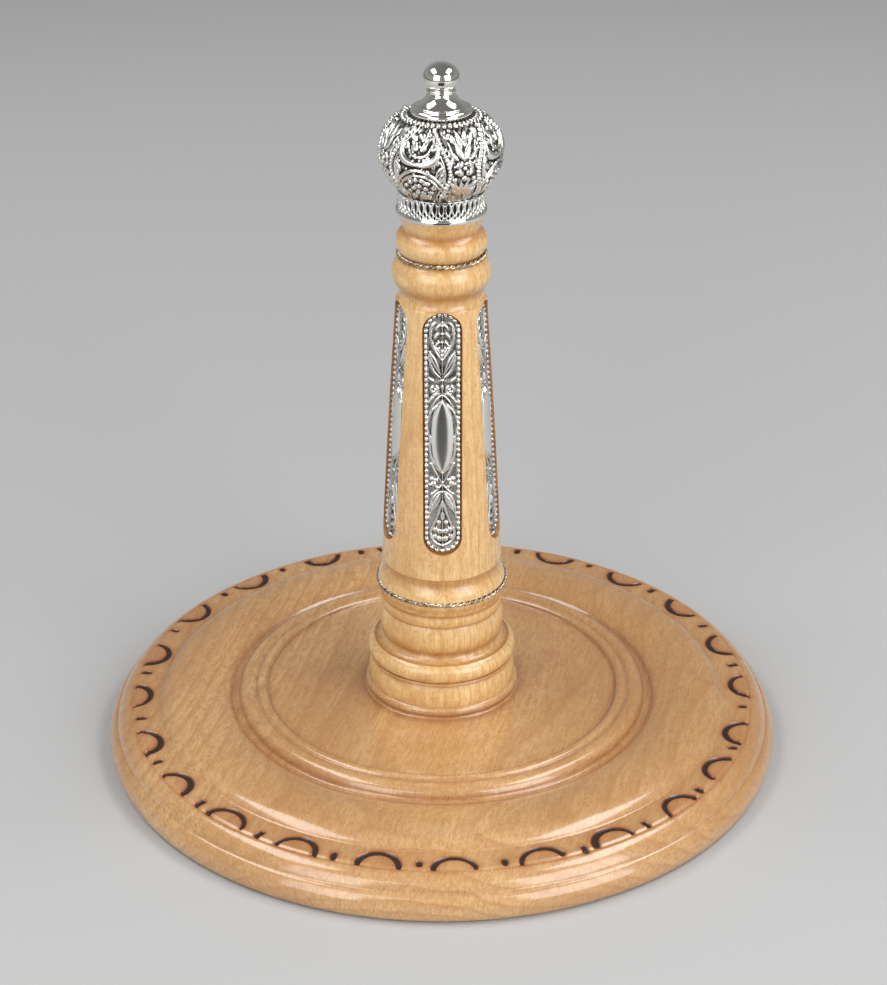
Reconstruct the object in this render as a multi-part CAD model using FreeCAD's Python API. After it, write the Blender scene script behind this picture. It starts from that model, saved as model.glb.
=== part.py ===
"""Free-standing paper towel holder: turned beech base and column, silver trim, crown and finial.

Millimetres. +Z is up, the origin is on the surface that the holder stands on, under the middle of the
base, and the front is -Y. Every turned piece is a profile in the XZ plane, spun round Z.
"""
import FreeCAD, Part
import math
import os

V = FreeCAD.Vector
UP = V(0, 0, 1)
CENTRE = V(0, 0, 0)

# ---- clearances and fits -------------------------------------------------------------------------
GLUE = 0.05            # glue line round a piece that is glued or pressed in
SCREW_CLEARANCE = 0.05     # radial, bolt or stud in its thread (plain cylinders stand in for threads)
SLIDE_CLEARANCE = 0.10     # radial, tenon in socket and collar on stud

# ---- base ----------------------------------------------------------------------------------------
BASE_R = 120.4         # widest radius of the base
UNDERSIDE_R = BASE_R - 0.9
PAD_PROUD = 0.8        # the felt pads lift the wood by this much
LEDGE_Z = 15.5         # flat ledge that holds the burnt marks
LEDGE_R = BASE_R - 9.8
LEDGE_WIDTH = 8.6
LEDGE_EDGE_ROUND = 0.6
RIM_WIDEST_Z = LEDGE_Z - 11.3
CREASE_Z = LEDGE_Z - 5.9   # fine crease between the lower roll and the upper roll
CREASE_R = BASE_R - 2.6
CREASE_DEPTH = 0.6
UPPER_ROLL_R = BASE_R - 5.1    # point half-way up the upper roll
UPPER_ROLL_Z = LEDGE_Z - 2.5
STEP_R = BASE_R - 8.2      # where the upper roll meets the small step
STEP_DROP = 0.55
STEP_HOLLOW = 0.12
FLOOR_Z = LEDGE_Z + 3.7    # floor that the roll of paper stands on
FLOOR_R = 62.8
FLOOR_EDGE_DROP = 0.5      # fine turned line round the floor, just inside the bead
FLOOR_EDGE_WIDTH = 2.6
BEAD_WIDTH = 4.1           # small bead at the floor's edge
BEAD_RISE = 1.3
ROLL_IN_R = FLOOR_R + BEAD_WIDTH   # round ring between the bead and the groove
ROLL_OUT_R = ROLL_IN_R + 6.3
ROLL_TOP_Z = FLOOR_Z + 0.7
ROLL_IN_DROP = 0.5
ROLL_LEAN = 0.6            # its top lies this far outside its middle
GROOVE_R = ROLL_OUT_R + 1.2    # bottom of the narrow groove inside the broad ring
GROOVE_Z = FLOOR_Z - 3.3
GROOVE_LIP = 0.6
BROAD_IN_R = GROOVE_R + 2.2    # broad convex ring
BROAD_IN_Z = GROOVE_Z + 1.0
BROAD_OUT_R = LEDGE_R - LEDGE_WIDTH
BROAD_CROWN_Z = FLOOR_Z - 0.2
SHOULDER_WIDTH = 7.2       # the broad ring's outer shoulder
SHOULDER_RISE = 3.1
SHOULDER_BULGE = V(3.3, 0, 2.25)
BOSS_R = 27.2              # low boss under the column
BOSS_HEIGHT = 4.0
BOSS_TOP_Z = FLOOR_Z + BOSS_HEIGHT
BOSS_TOP_R = BOSS_R - 0.9
BOSS_COVE = 0.5            # hollow where the boss meets the floor
BOSS_COVE_TOP = 1.4

# ---- burnt arcs and strokes ----------------------------------------------------------------------
MARK_COUNT = 23
MARK_TURN = -5.8           # degrees from the front to the first stroke
MARK_CROWDING = 4.8        # degrees: the hand-set marks stand a little closer together in one place
CROWDED_AT = 22.0          # degrees from the front, towards +X
ARC_R = 7.1                # radius of an arc's centre line
ARC_SPAN = 155.0           # degrees of each arc
ARC_MIDDLE_R = LEDGE_R + 1.0   # distance of the arcs' centres from the axis
STROKE_LENGTH = 2.6
STROKE_OUT_R = LEDGE_R + 0.1
BURN_R = 1.1               # section radius of every burnt groove
BURN_LIFT = 0.35           # the section's centre stands this far above the ledge

# ---- felt pads -----------------------------------------------------------------------------------
PAD_COUNT = 4
PAD_R = 9.0
PAD_CIRCLE_R = BASE_R - 24.4
PAD_THICK = 2.3
PAD_FILLET = 0.3
FIRST_PAD_ANGLE = 45.0

# ---- joint between column and base ---------------------------------------------------------------
BOLT_R = 4.0               # M8
BOLT_TIP_CHAMFER = 0.8
BOLT_HEAD_R = 6.5
BOLT_HEAD_H = 5.0
BOLT_HEAD_CHAMFER = 0.5
BOLT_KEY_ACROSS = 5.0      # hexagon socket, across flats
BOLT_KEY_DEEP = 2.6
BOLT_HOLE_R = BOLT_R + 0.4
WASHER_R = 8.8
WASHER_THICK = 1.5
HEAD_RECESS = 1.3          # the bolt's head stops this far above the underside
COUNTERBORE_R = WASHER_R + 2.2
COUNTERBORE_TOP_Z = PAD_PROUD + HEAD_RECESS + BOLT_HEAD_H + WASHER_THICK
BASE_WEB = 4.1             # wood left between the counterbore and the column's socket
TENON_R = 13.0
TENON_LOW_Z = COUNTERBORE_TOP_Z + BASE_WEB + SLIDE_CLEARANCE
TENON_CHAMFER = 0.6
COLUMN_INSERT_R = 6.0
COLUMN_INSERT_LENGTH = 18.0
BOLT_PAST_INSERT = 3.0     # the bolt's end stands this far past the insert
BOLT_TIP_ROOM = 3.0        # pilot hole left beyond the bolt's end
PILOT_R = BOLT_R + 0.5

# ---- column: the foot's mouldings, upwards from the boss -----------------------------------------
COLUMN_FOOT_R = 26.0
FOOT_Z = BOSS_TOP_Z
FOOT_EDGE = 0.4
FOOT_LINE_Z = FOOT_Z + 9.1     # double line under the large bead
FOOT_LINE_DEPTH = 1.0
FOOT_BEAD_R = 26.3             # large bead at the foot
FOOT_BEAD_Z = FOOT_Z + 12.7
FOOT_BEAD_TOP_Z = FOOT_BEAD_Z + 3.2
FOOT_BEAD_TOP_R = FOOT_BEAD_R - 2.2
WAIST_Z = FOOT_Z + 18.4        # cove above the foot bead
WAIST_R = 20.8
WAIST_CURVE = V(0.5, 0, -1.5)
BAND_R = 21.9                  # rounded band above the cove
BAND_TOP_Z = FOOT_Z + 29.2
BAND_TOP_INSET = 1.1
FINE_BEAD_TOP_Z = FOOT_Z + 34.1
FINE_BEAD_R = BAND_R - 0.5
FINE_BEAD_RISE = 1.4
FINE_BEAD_LINE = 0.6
LOWER_BEAD_R = 22.4            # bead that carries the lower wire
LOWER_BEAD_RISE = 2.0
LOWER_WIRE_Z = FOOT_Z + 39.5
LOWER_WIRE_SEAT = 0.7          # depth of the lower wire's groove
LOWER_BEAD_TOP_Z = LOWER_WIRE_Z + 5.2
COVE_MIDDLE_Z = LOWER_WIRE_Z + 3.2

# ---- column: the shaft, and the mouldings above it -----------------------------------------------
SHAFT_LENGTH = 97.9
SHAFT_BOTTOM_Z = FOOT_Z + 47.9
SHAFT_TOP_Z = SHAFT_BOTTOM_Z + SHAFT_LENGTH
SHAFT_BOTTOM_R = 21.0
SHAFT_MIDDLE_R = 18.5
SHAFT_TOP_R = 15.4
SHAFT_EDGE_RISE = 0.5
SHAFT_EDGE_STEP = 0.7
SHAFT_COVE = V(-0.9, 0, -1.6)
SHAFT_COVE_TOP = 0.2
NECK_R = 14.2                  # cove above the shaft
NECK_Z = SHAFT_TOP_Z + 2.8
LARGE_BEAD_R = 16.7
LARGE_BEAD_Z = SHAFT_TOP_Z + 9.6
LARGE_BEAD_LOW = V(-1.4, 0, -4.2)
UPPER_WIRE_Z = SHAFT_TOP_Z + 16.2
UPPER_WIRE_GROOVE_R = 13.7
WIRE_GROOVE_DEPTH = 0.3
SMALL_BEAD_R = 15.4
SMALL_BEAD_Z = SHAFT_TOP_Z + 20.3
V_NECK_R = 12.9
V_NECK_Z = SHAFT_TOP_Z + 24.9
LIP_Z = SHAFT_TOP_Z + 30.5     # shoulder that the crown sits on
LIP_EDGE = 0.3
LIP_CURVE = V(0.4, 0, 2.2)

# ---- panels and their pockets --------------------------------------------------------------------
PANEL_COUNT = 5
PANEL_TURN = 1.2               # degrees, first panel from the front towards +X
POCKET_WIDTH = 13.4
POCKET_BOTTOM_Z = SHAFT_BOTTOM_Z + 10.1
POCKET_TOP_Z = SHAFT_TOP_Z + 0.4
POCKET_SIDE = 1.15             # depth of the pocket's long sides
PANEL_MARGIN = 0.4             # gap all round the panel in its pocket
PANEL_SHEET = 0.5              # thickness of the stamped sheet
PANEL_BORDER_WIDTH = 1.5
PANEL_RELIEF = 0.45            # height of the border above the sheet
RELIEF_SINK = 0.05             # raised shapes start this far inside the sheet
CABOCHON_WIDTH = 6.6           # polished oval in the middle
CABOCHON_LENGTH = 20.5
CABOCHON_HEIGHT = 1.2
BERRY_WIDTH = 3.4
BERRY_HEIGHT = 0.8
BERRY_OFFSET = V(2.1, 0, 14.6)
LEAF_WIDTH = 2.6
LEAF_LENGTH = 8.6
LEAF_HEIGHT = 0.8
LEAF_OFFSET = V(1.7, 0, 22.5)
LEAF_LEAN = 24.0
END_LEAF_WIDTH = 5.6
END_LEAF_LENGTH = 9.4
END_LEAF_HEIGHT = 0.9
END_LEAF_OFFSET = 33.2

# ---- twisted wires -------------------------------------------------------------------------------
WIRE_R = 0.75                  # half the width of the twisted pair

# ---- crown ---------------------------------------------------------------------------------------
GALLERY_R = 14.6
GALLERY_THICK = 1.1
GALLERY_HEIGHT = 8.1
GALLERY_TOP_Z = LIP_Z + GALLERY_HEIGHT
GALLERY_ARCHES = 40
ARCH_WIDTH = 1.15
ARCH_LOW = 4.0                 # height of the windows' sills above the gallery's foot
ARCH_TOP_GAP = 0.7
ARCH_SPRING = 0.55             # share of a window's height where its point starts
LIP_R = GALLERY_R + 0.1
SPIGOT_R = GALLERY_R - GALLERY_THICK - 0.2
RIM_R = GALLERY_R + 0.4
RIM_BULGE = 0.2
RIM_EDGE = 0.1
RIM_HEIGHT = 1.9
SHELL = 0.9                    # thickness of the dome's metal
DOME_MOUTH_R = GALLERY_R + 0.2
DOME_MOUTH_Z = GALLERY_TOP_Z + GLUE
DOME_LIP_R = DOME_MOUTH_R + 1.6    # end of the flared lip over the gallery
DOME_LIP_Z = GALLERY_TOP_Z + 2.6
DOME_R = 20.4
DOME_WIDEST_Z = GALLERY_TOP_Z + 12.0
DOME_SHOULDER_R = 16.6
DOME_SHOULDER_Z = GALLERY_TOP_Z + 22.8
DOME_TOP_R = 10.4
DOME_TOP_Z = GALLERY_TOP_Z + 25.8
DOME_TURN_R = 13.9             # point on the curve between the shoulder and the flat top
DOME_TURN_DROP = 0.7
DOME_HOLE_R = 2.9
SPIGOT_TOP_R = DOME_TOP_R + 0.1
SPIGOT_TAPER = 3.6

# ---- finial --------------------------------------------------------------------------------------
STUD_R = 2.5                   # M5
STUD_CHAMFER = 0.5
STUD_INSERT_R = 4.0
STUD_INSERT_LENGTH = 14.0
STUD_END_GAP = 1.0             # the stud's lower end stops this far above the insert's
STUD_TOP_Z = DOME_TOP_Z + 9.6
COLLAR_R = 10.2
COLLAR_THICK = 1.9
COLLAR_ROUND = 0.7             # the collar's top edge is set in by this
COLLAR_WIDEST = 0.4            # share of the collar's thickness where it is widest
KNOB_LOW_Z = DOME_TOP_Z + COLLAR_THICK
KNOB_FLARE_R = 8.2
KNOB_EDGE = 0.8                # thickness of the flare's edge
KNOB_EDGE_LOW = 0.2
KNOB_EDGE_HIGH = 0.3
KNOB_NECK_R = 4.3
KNOB_NECK_Z = KNOB_LOW_Z + 4.9
KNOB_FLARE_CURVE = V(1.3, 0, -2.2)
KNOB_RING = 0.55               # the thin ring at the neck stands out this far
KNOB_RING_H = 1.2
KNOB_BALL_R = 5.95
KNOB_BALL_Z = KNOB_LOW_Z + 9.9
KNOB_TOP_Z = KNOB_LOW_Z + 14.7
KNOB_CAP_R = 2.6               # the ball's flatter top starts at this radius
KNOB_CAP_H = 0.45
KNOB_BORE_END_GAP = 0.8        # room between the stud's end and the end of the knob's thread


# ---- small helpers -------------------------------------------------------------------------------
def at(radius, height):
    return V(radius, 0, height)


def outline(start, *steps):
    """A wire in the XZ plane: each step is a point for a straight run, or (middle, end) for an arc."""
    edges = []
    here = start
    for step in steps:
        if isinstance(step, tuple):
            middle, there = step
            edges.append(Part.Arc(here, middle, there).toShape())
        else:
            there = step
            edges.append(Part.LineSegment(here, there).toShape())
        here = there
    return Part.Wire(edges)


def cap_middle(radius, height, top):
    """Middle point of an arc from the edge of a spherical cap to its top on the axis."""
    sphere_r = (radius ** 2 + height ** 2) / (2 * height)
    half = radius / 2
    return at(half, top - sphere_r + math.sqrt(sphere_r ** 2 - half ** 2))


def spin(wire):
    """Closes the outline along the axis or along itself, and spins it into a solid."""
    first = wire.OrderedVertexes[0].Point
    last = wire.OrderedVertexes[-1].Point
    if first.distanceToPoint(last) > 1e-6:
        wire = Part.Wire(wire.OrderedEdges + [Part.LineSegment(last, first).toShape()])
    solid = Part.Face(wire).revolve(CENTRE, UP, 360)
    if solid.Volume < 0:
        solid.reverse()
    return solid


def cylinder(radius, low, high):
    return Part.makeCylinder(radius, high - low, V(0, 0, low), UP)


def ring(outer, inner, low, high):
    return cylinder(outer, low, high).cut(cylinder(inner, low - 1, high + 1))


def turned(shape, degrees):
    copy = shape.copy()
    copy.rotate(CENTRE, UP, degrees)
    return copy


def save(name, shape):
    shape.exportStep("parts/" + name + ".step")


# ---- base ----------------------------------------------------------------------------------------
def pad_angles():
    return [FIRST_PAD_ANGLE + 360.0 / PAD_COUNT * n for n in range(PAD_COUNT)]


def pad_place(angle):
    a = math.radians(angle)
    return V(PAD_CIRCLE_R * math.cos(a), PAD_CIRCLE_R * math.sin(a), 0)


def base_profile():
    broad_middle = (BROAD_IN_R + BROAD_OUT_R) / 2
    roll_middle = (ROLL_IN_R + ROLL_OUT_R) / 2 + ROLL_LEAN
    bead_middle = FLOOR_R + BEAD_WIDTH / 2
    boss_shoulder = BOSS_TOP_Z - (BOSS_R - BOSS_TOP_R)
    ledge_foot = at(LEDGE_R + LEDGE_EDGE_ROUND, LEDGE_Z - LEDGE_EDGE_ROUND / 2)
    step_middle = at((STEP_R + ledge_foot.x) / 2, LEDGE_Z - STEP_DROP - STEP_HOLLOW)
    broad_foot = at(BROAD_OUT_R, LEDGE_Z)
    shoulder_middle = at(BROAD_OUT_R - SHOULDER_BULGE.x, LEDGE_Z + SHOULDER_BULGE.z)
    return outline(
        at(0, PAD_PROUD),
        at(UNDERSIDE_R, PAD_PROUD),
        (at(BASE_R, RIM_WIDEST_Z), at(CREASE_R, CREASE_Z)),
        at(CREASE_R - CREASE_DEPTH, CREASE_Z + CREASE_DEPTH / 2),
        (at(UPPER_ROLL_R, UPPER_ROLL_Z), at(STEP_R, LEDGE_Z - STEP_DROP)),
        (step_middle, ledge_foot),
        at(LEDGE_R, LEDGE_Z),
        broad_foot,
        (shoulder_middle, at(BROAD_OUT_R - SHOULDER_WIDTH, LEDGE_Z + SHOULDER_RISE)),
        (at(broad_middle, BROAD_CROWN_Z), at(BROAD_IN_R, BROAD_IN_Z)),
        (at(GROOVE_R, GROOVE_Z), at(ROLL_OUT_R, GROOVE_Z + GROOVE_LIP)),
        (at(roll_middle, ROLL_TOP_Z), at(ROLL_IN_R, ROLL_TOP_Z - ROLL_IN_DROP)),
        (at(bead_middle, FLOOR_Z + BEAD_RISE), at(FLOOR_R, FLOOR_Z - FLOOR_EDGE_DROP)),
        at(FLOOR_R - FLOOR_EDGE_WIDTH, FLOOR_Z),
        at(BOSS_R + BOSS_COVE, FLOOR_Z),
        (at(BOSS_R - BOSS_COVE / 2, FLOOR_Z + BOSS_COVE), at(BOSS_R, FLOOR_Z + BOSS_COVE_TOP)),
        (at(BOSS_R - BOSS_COVE / 5, boss_shoulder), at(BOSS_TOP_R, BOSS_TOP_Z)),
        at(0, BOSS_TOP_Z))


def burnt_arc():
    """One arc, open towards the rim, as a half-round groove in the ledge. It stands at the front."""
    tool = Part.makeTorus(ARC_R, BURN_R, CENTRE, UP, 0, 360, ARC_SPAN)
    tool.rotate(CENTRE, UP, 90 - ARC_SPAN / 2)
    tool.translate(V(0, -ARC_MIDDLE_R, LEDGE_Z + BURN_LIFT))
    return tool


def burnt_stroke():
    inner_r = STROKE_OUT_R - STROKE_LENGTH
    return Part.makeCylinder(BURN_R, STROKE_LENGTH, V(0, -inner_r, LEDGE_Z + BURN_LIFT), V(0, -1, 0))


def mark_angle(place):
    """Degrees from the front to mark number `place`; a half number lies between two strokes."""
    even = 360.0 / MARK_COUNT * place
    return MARK_TURN + even - MARK_CROWDING * math.sin(math.radians(even - CROWDED_AT))


def burnt_marks():
    tools = []
    for n in range(MARK_COUNT):
        tools.append(turned(burnt_stroke(), mark_angle(n)))
        tools.append(turned(burnt_arc(), mark_angle(n + 0.5)))
    return tools


def make_base():
    body = spin(base_profile())
    cuts = [cylinder(TENON_R + SLIDE_CLEARANCE, TENON_LOW_Z - SLIDE_CLEARANCE, BOSS_TOP_Z + 1),
            cylinder(BOLT_HOLE_R, 0, BOSS_TOP_Z),
            cylinder(COUNTERBORE_R, 0, COUNTERBORE_TOP_Z)]
    for angle in pad_angles():
        cuts.append(Part.makeCylinder(PAD_R + GLUE, PAD_THICK, pad_place(angle), UP))
    return body.cut(cuts).cut(burnt_marks())


def make_pad(angle):
    pad = Part.makeCylinder(PAD_R, PAD_THICK, pad_place(angle), UP)
    low_edge = [e for e in pad.Edges if e.BoundBox.ZMax < 1e-6]
    return pad.makeFillet(PAD_FILLET, low_edge)


# ---- bolt, washer and inserts --------------------------------------------------------------------
def washer_low():
    return COUNTERBORE_TOP_Z - WASHER_THICK


def bolt_tip():
    return TENON_LOW_Z + COLUMN_INSERT_LENGTH + BOLT_PAST_INSERT


def make_washer():
    return ring(WASHER_R, BOLT_HOLE_R, washer_low(), COUNTERBORE_TOP_Z)


def hexagon(across, low, high):
    corner = across / math.sqrt(3)
    points = [V(corner * math.cos(math.radians(60 * n)), corner * math.sin(math.radians(60 * n)), low)
              for n in range(7)]
    return Part.Face(Part.makePolygon(points)).extrude(V(0, 0, high - low))


def make_bolt():
    head_low = washer_low() - BOLT_HEAD_H
    profile = outline(
        at(0, head_low),
        at(BOLT_HEAD_R - BOLT_HEAD_CHAMFER, head_low),
        at(BOLT_HEAD_R, head_low + BOLT_HEAD_CHAMFER),
        at(BOLT_HEAD_R, washer_low()),
        at(BOLT_R, washer_low()),
        at(BOLT_R, bolt_tip() - BOLT_TIP_CHAMFER),
        at(BOLT_R - BOLT_TIP_CHAMFER, bolt_tip()),
        at(0, bolt_tip()))
    return spin(profile).cut(hexagon(BOLT_KEY_ACROSS, head_low - 1, head_low + BOLT_KEY_DEEP))


def make_column_insert():
    high = TENON_LOW_Z + COLUMN_INSERT_LENGTH
    return ring(COLUMN_INSERT_R, BOLT_R + SCREW_CLEARANCE, TENON_LOW_Z, high)


def spigot_top():
    return DOME_TOP_Z - SHELL - GLUE


def make_stud_insert():
    high = spigot_top()
    return ring(STUD_INSERT_R, STUD_R + SCREW_CLEARANCE, high - STUD_INSERT_LENGTH, high)


def make_stud():
    low = spigot_top() - STUD_INSERT_LENGTH + STUD_END_GAP
    profile = outline(
        at(0, low),
        at(STUD_R - STUD_CHAMFER, low),
        at(STUD_R, low + STUD_CHAMFER),
        at(STUD_R, STUD_TOP_Z - STUD_CHAMFER),
        at(STUD_R - STUD_CHAMFER, STUD_TOP_Z),
        at(0, STUD_TOP_Z))
    return spin(profile)


# ---- column --------------------------------------------------------------------------------------
def foot_profile():
    """From the tenon's end up to the groove above the lower wire."""
    line_low = at(COLUMN_FOOT_R - FOOT_LINE_DEPTH, FOOT_LINE_Z - FOOT_LINE_DEPTH)
    line_high = at(COLUMN_FOOT_R - FOOT_LINE_DEPTH, FOOT_LINE_Z + FOOT_EDGE)
    band_top = at(BAND_R - BAND_TOP_INSET, BAND_TOP_Z)
    fine_low = at(FINE_BEAD_R, BAND_TOP_Z + FINE_BEAD_RISE)
    fine_high = at(FINE_BEAD_R, FINE_BEAD_TOP_Z - FINE_BEAD_LINE)
    wire_seat = LOWER_BEAD_R - LOWER_WIRE_SEAT
    return [
        at(TENON_R - TENON_CHAMFER, TENON_LOW_Z),
        at(TENON_R, TENON_LOW_Z + TENON_CHAMFER),
        at(TENON_R, FOOT_Z),
        at(COLUMN_FOOT_R - FOOT_EDGE, FOOT_Z),
        (at(COLUMN_FOOT_R, (FOOT_Z + FOOT_LINE_Z) / 2), line_low),
        (at(COLUMN_FOOT_R - FOOT_EDGE, FOOT_LINE_Z - FOOT_EDGE), line_high),
        (at(FOOT_BEAD_R, FOOT_BEAD_Z), at(FOOT_BEAD_TOP_R, FOOT_BEAD_TOP_Z)),
        (at(WAIST_R + WAIST_CURVE.x, WAIST_Z + WAIST_CURVE.z), at(WAIST_R, WAIST_Z)),
        (at(BAND_R, (WAIST_Z + BAND_TOP_Z) / 2), band_top),
        (fine_low, fine_high),
        at(FINE_BEAD_R, FINE_BEAD_TOP_Z),
        (at(LOWER_BEAD_R, FINE_BEAD_TOP_Z + LOWER_BEAD_RISE), at(LOWER_BEAD_R, LOWER_WIRE_Z - WIRE_R)),
        (at(wire_seat, LOWER_WIRE_Z), at(LOWER_BEAD_R, LOWER_WIRE_Z + WIRE_R)),
        (at(wire_seat, COVE_MIDDLE_Z), at(SHAFT_BOTTOM_R - FOOT_EDGE, LOWER_BEAD_TOP_Z))]


def shaft_profile():
    """From the cove under the shaft up to the cove above it."""
    cove = at(SHAFT_BOTTOM_R + SHAFT_COVE.x, SHAFT_BOTTOM_Z + SHAFT_COVE.z)
    cove_top = at(SHAFT_BOTTOM_R - SHAFT_EDGE_STEP, SHAFT_BOTTOM_Z - SHAFT_COVE_TOP)
    shaft_middle_z = (SHAFT_BOTTOM_Z + SHAFT_TOP_Z) / 2
    bead_low = at(LARGE_BEAD_R + LARGE_BEAD_LOW.x, LARGE_BEAD_Z + LARGE_BEAD_LOW.z)
    return [
        (cove, cove_top),
        at(SHAFT_BOTTOM_R, SHAFT_BOTTOM_Z + SHAFT_EDGE_RISE),
        (at(SHAFT_MIDDLE_R, shaft_middle_z), at(SHAFT_TOP_R, SHAFT_TOP_Z)),
        (at(NECK_R, NECK_Z), bead_low)]


def head_profile():
    """From the large bead up to the top of the spigot inside the crown."""
    groove_edge_r = UPPER_WIRE_GROOVE_R + WIRE_GROOVE_DEPTH
    return [
        (at(LARGE_BEAD_R, LARGE_BEAD_Z), at(groove_edge_r, UPPER_WIRE_Z - WIRE_R)),
        (at(UPPER_WIRE_GROOVE_R, UPPER_WIRE_Z), at(groove_edge_r, UPPER_WIRE_Z + WIRE_R)),
        (at(SMALL_BEAD_R, SMALL_BEAD_Z), at(V_NECK_R, V_NECK_Z)),
        (at(V_NECK_R + LIP_CURVE.x, V_NECK_Z + LIP_CURVE.z), at(LIP_R, LIP_Z - LIP_EDGE)),
        at(LIP_R, LIP_Z),
        at(SPIGOT_R, LIP_Z),
        at(SPIGOT_R, spigot_top() - SPIGOT_TAPER),
        at(SPIGOT_TOP_R, spigot_top()),
        at(0, spigot_top())]


def column_profile():
    return outline(at(0, TENON_LOW_Z), *foot_profile(), *shaft_profile(), *head_profile())


def shaft_radius(height):
    """Radius of the shaft's gentle curve, from the circle through its three radii."""
    low = at(SHAFT_BOTTOM_R, SHAFT_BOTTOM_Z + SHAFT_EDGE_RISE)
    middle = at(SHAFT_MIDDLE_R, (SHAFT_BOTTOM_Z + SHAFT_TOP_Z) / 2)
    high = at(SHAFT_TOP_R, SHAFT_TOP_Z)
    circle = Part.Arc(low, middle, high)
    edge = circle.toShape()
    line = Part.makeLine(V(0, 0, height), V(100, 0, height))
    return edge.distToShape(line)[1][0][0].x


def pocket_floor(height):
    """Distance of the pocket's flat floor from the axis at a height on the shaft."""
    half = POCKET_WIDTH / 2
    return math.sqrt(shaft_radius(height) ** 2 - half ** 2) - POCKET_SIDE


def stadium(width, low, high):
    """A face in the XZ plane with parallel sides and round ends."""
    half = width / 2
    wire = outline(
        V(-half, 0, low + half),
        (V(0, 0, low), V(half, 0, low + half)),
        V(half, 0, high - half),
        (V(0, 0, high), V(-half, 0, high - half)),
        V(-half, 0, low + half))
    return Part.Face(wire)


def panel_lean():
    """Degrees that the pocket floors lean from upright, to follow the shaft's taper."""
    run = pocket_floor(POCKET_BOTTOM_Z) - pocket_floor(POCKET_TOP_Z)
    return math.degrees(math.atan2(run, POCKET_TOP_Z - POCKET_BOTTOM_Z))


def seat_on_shaft(shape, position):
    """Moves a shape made on the XZ plane, facing -Y, onto the pocket floor number `position`."""
    copy = shape.copy()
    low = V(0, 0, POCKET_BOTTOM_Z)
    copy.rotate(low, V(1, 0, 0), -panel_lean())
    copy.translate(V(0, -pocket_floor(POCKET_BOTTOM_Z), 0))
    return turned(copy, PANEL_TURN + 360.0 / PANEL_COUNT * position)


def pocket_tool():
    return stadium(POCKET_WIDTH, POCKET_BOTTOM_Z, POCKET_TOP_Z).extrude(V(0, -10, 0))


def make_column():
    body = spin(column_profile())
    pockets = [seat_on_shaft(pocket_tool(), n) for n in range(PANEL_COUNT)]
    insert_top = TENON_LOW_Z + COLUMN_INSERT_LENGTH
    holes = [cylinder(COLUMN_INSERT_R + GLUE, TENON_LOW_Z - 1, insert_top + GLUE),
             cylinder(PILOT_R, insert_top, bolt_tip() + BOLT_TIP_ROOM),
             cylinder(STUD_INSERT_R + GLUE, spigot_top() - STUD_INSERT_LENGTH - GLUE, spigot_top() + 1)]
    return body.cut(pockets + holes)


# ---- panels --------------------------------------------------------------------------------------
def oval(width, length, height, middle_z):
    """A low pillow with an oval outline, standing on the sheet's face."""
    ball = Part.makeSphere(1.0)
    scale = FreeCAD.Matrix()
    scale.scale(V(width / 2, height, length / 2))
    pillow = ball.transformGeometry(scale)
    pillow.translate(V(0, 0, middle_z))
    behind = Part.makeBox(width * 2, height * 2, length * 2, V(-width, 0, middle_z - length))
    return pillow.cut(behind)


def leaf(width, length, height, place, lean):
    shape = oval(width, length, height, 0)
    shape.rotate(CENTRE, V(0, 1, 0), lean)
    shape.translate(place)
    return shape


def make_border():
    low = POCKET_BOTTOM_Z + PANEL_MARGIN
    high = POCKET_TOP_Z - PANEL_MARGIN
    width = POCKET_WIDTH - 2 * PANEL_MARGIN
    opening = stadium(width - 2 * PANEL_BORDER_WIDTH, low + PANEL_BORDER_WIDTH, high - PANEL_BORDER_WIDTH)
    thickness = PANEL_SHEET + PANEL_RELIEF
    frame = stadium(width, low, high).extrude(V(0, -thickness, 0))
    return frame.cut(opening.extrude(V(0, -2 * thickness, 0)))


def make_flat_panel():
    low = POCKET_BOTTOM_Z + PANEL_MARGIN
    high = POCKET_TOP_Z - PANEL_MARGIN
    middle = V(0, RELIEF_SINK - PANEL_SHEET, (low + high) / 2)
    sheet = stadium(POCKET_WIDTH - 2 * PANEL_MARGIN, low, high).extrude(V(0, -PANEL_SHEET, 0))
    pieces = [make_border(), leaf(CABOCHON_WIDTH, CABOCHON_LENGTH, CABOCHON_HEIGHT, middle, 0)]
    for side in (-1, 1):
        for end in (-1, 1):
            leaf_place = middle + V(side * LEAF_OFFSET.x, 0, end * LEAF_OFFSET.z)
            berry_place = middle + V(side * BERRY_OFFSET.x, 0, end * BERRY_OFFSET.z)
            pieces.append(leaf(LEAF_WIDTH, LEAF_LENGTH, LEAF_HEIGHT, leaf_place, side * end * LEAF_LEAN))
            pieces.append(leaf(BERRY_WIDTH, BERRY_WIDTH, BERRY_HEIGHT, berry_place, 0))
    for end in (-1, 1):
        end_place = middle + V(0, 0, end * END_LEAF_OFFSET)
        pieces.append(leaf(END_LEAF_WIDTH, END_LEAF_LENGTH, END_LEAF_HEIGHT, end_place, 0))
    panel = sheet.fuse(pieces).removeSplitter()
    panel.translate(V(0, -GLUE, 0))
    return panel


# ---- wires ---------------------------------------------------------------------------------------
def make_upper_wire():
    return Part.makeTorus(UPPER_WIRE_GROOVE_R + WIRE_R + GLUE, WIRE_R, V(0, 0, UPPER_WIRE_Z), UP)


def make_lower_wire():
    seat = LOWER_BEAD_R - LOWER_WIRE_SEAT
    return Part.makeTorus(seat + WIRE_R + GLUE, WIRE_R, V(0, 0, LOWER_WIRE_Z), UP)


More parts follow.
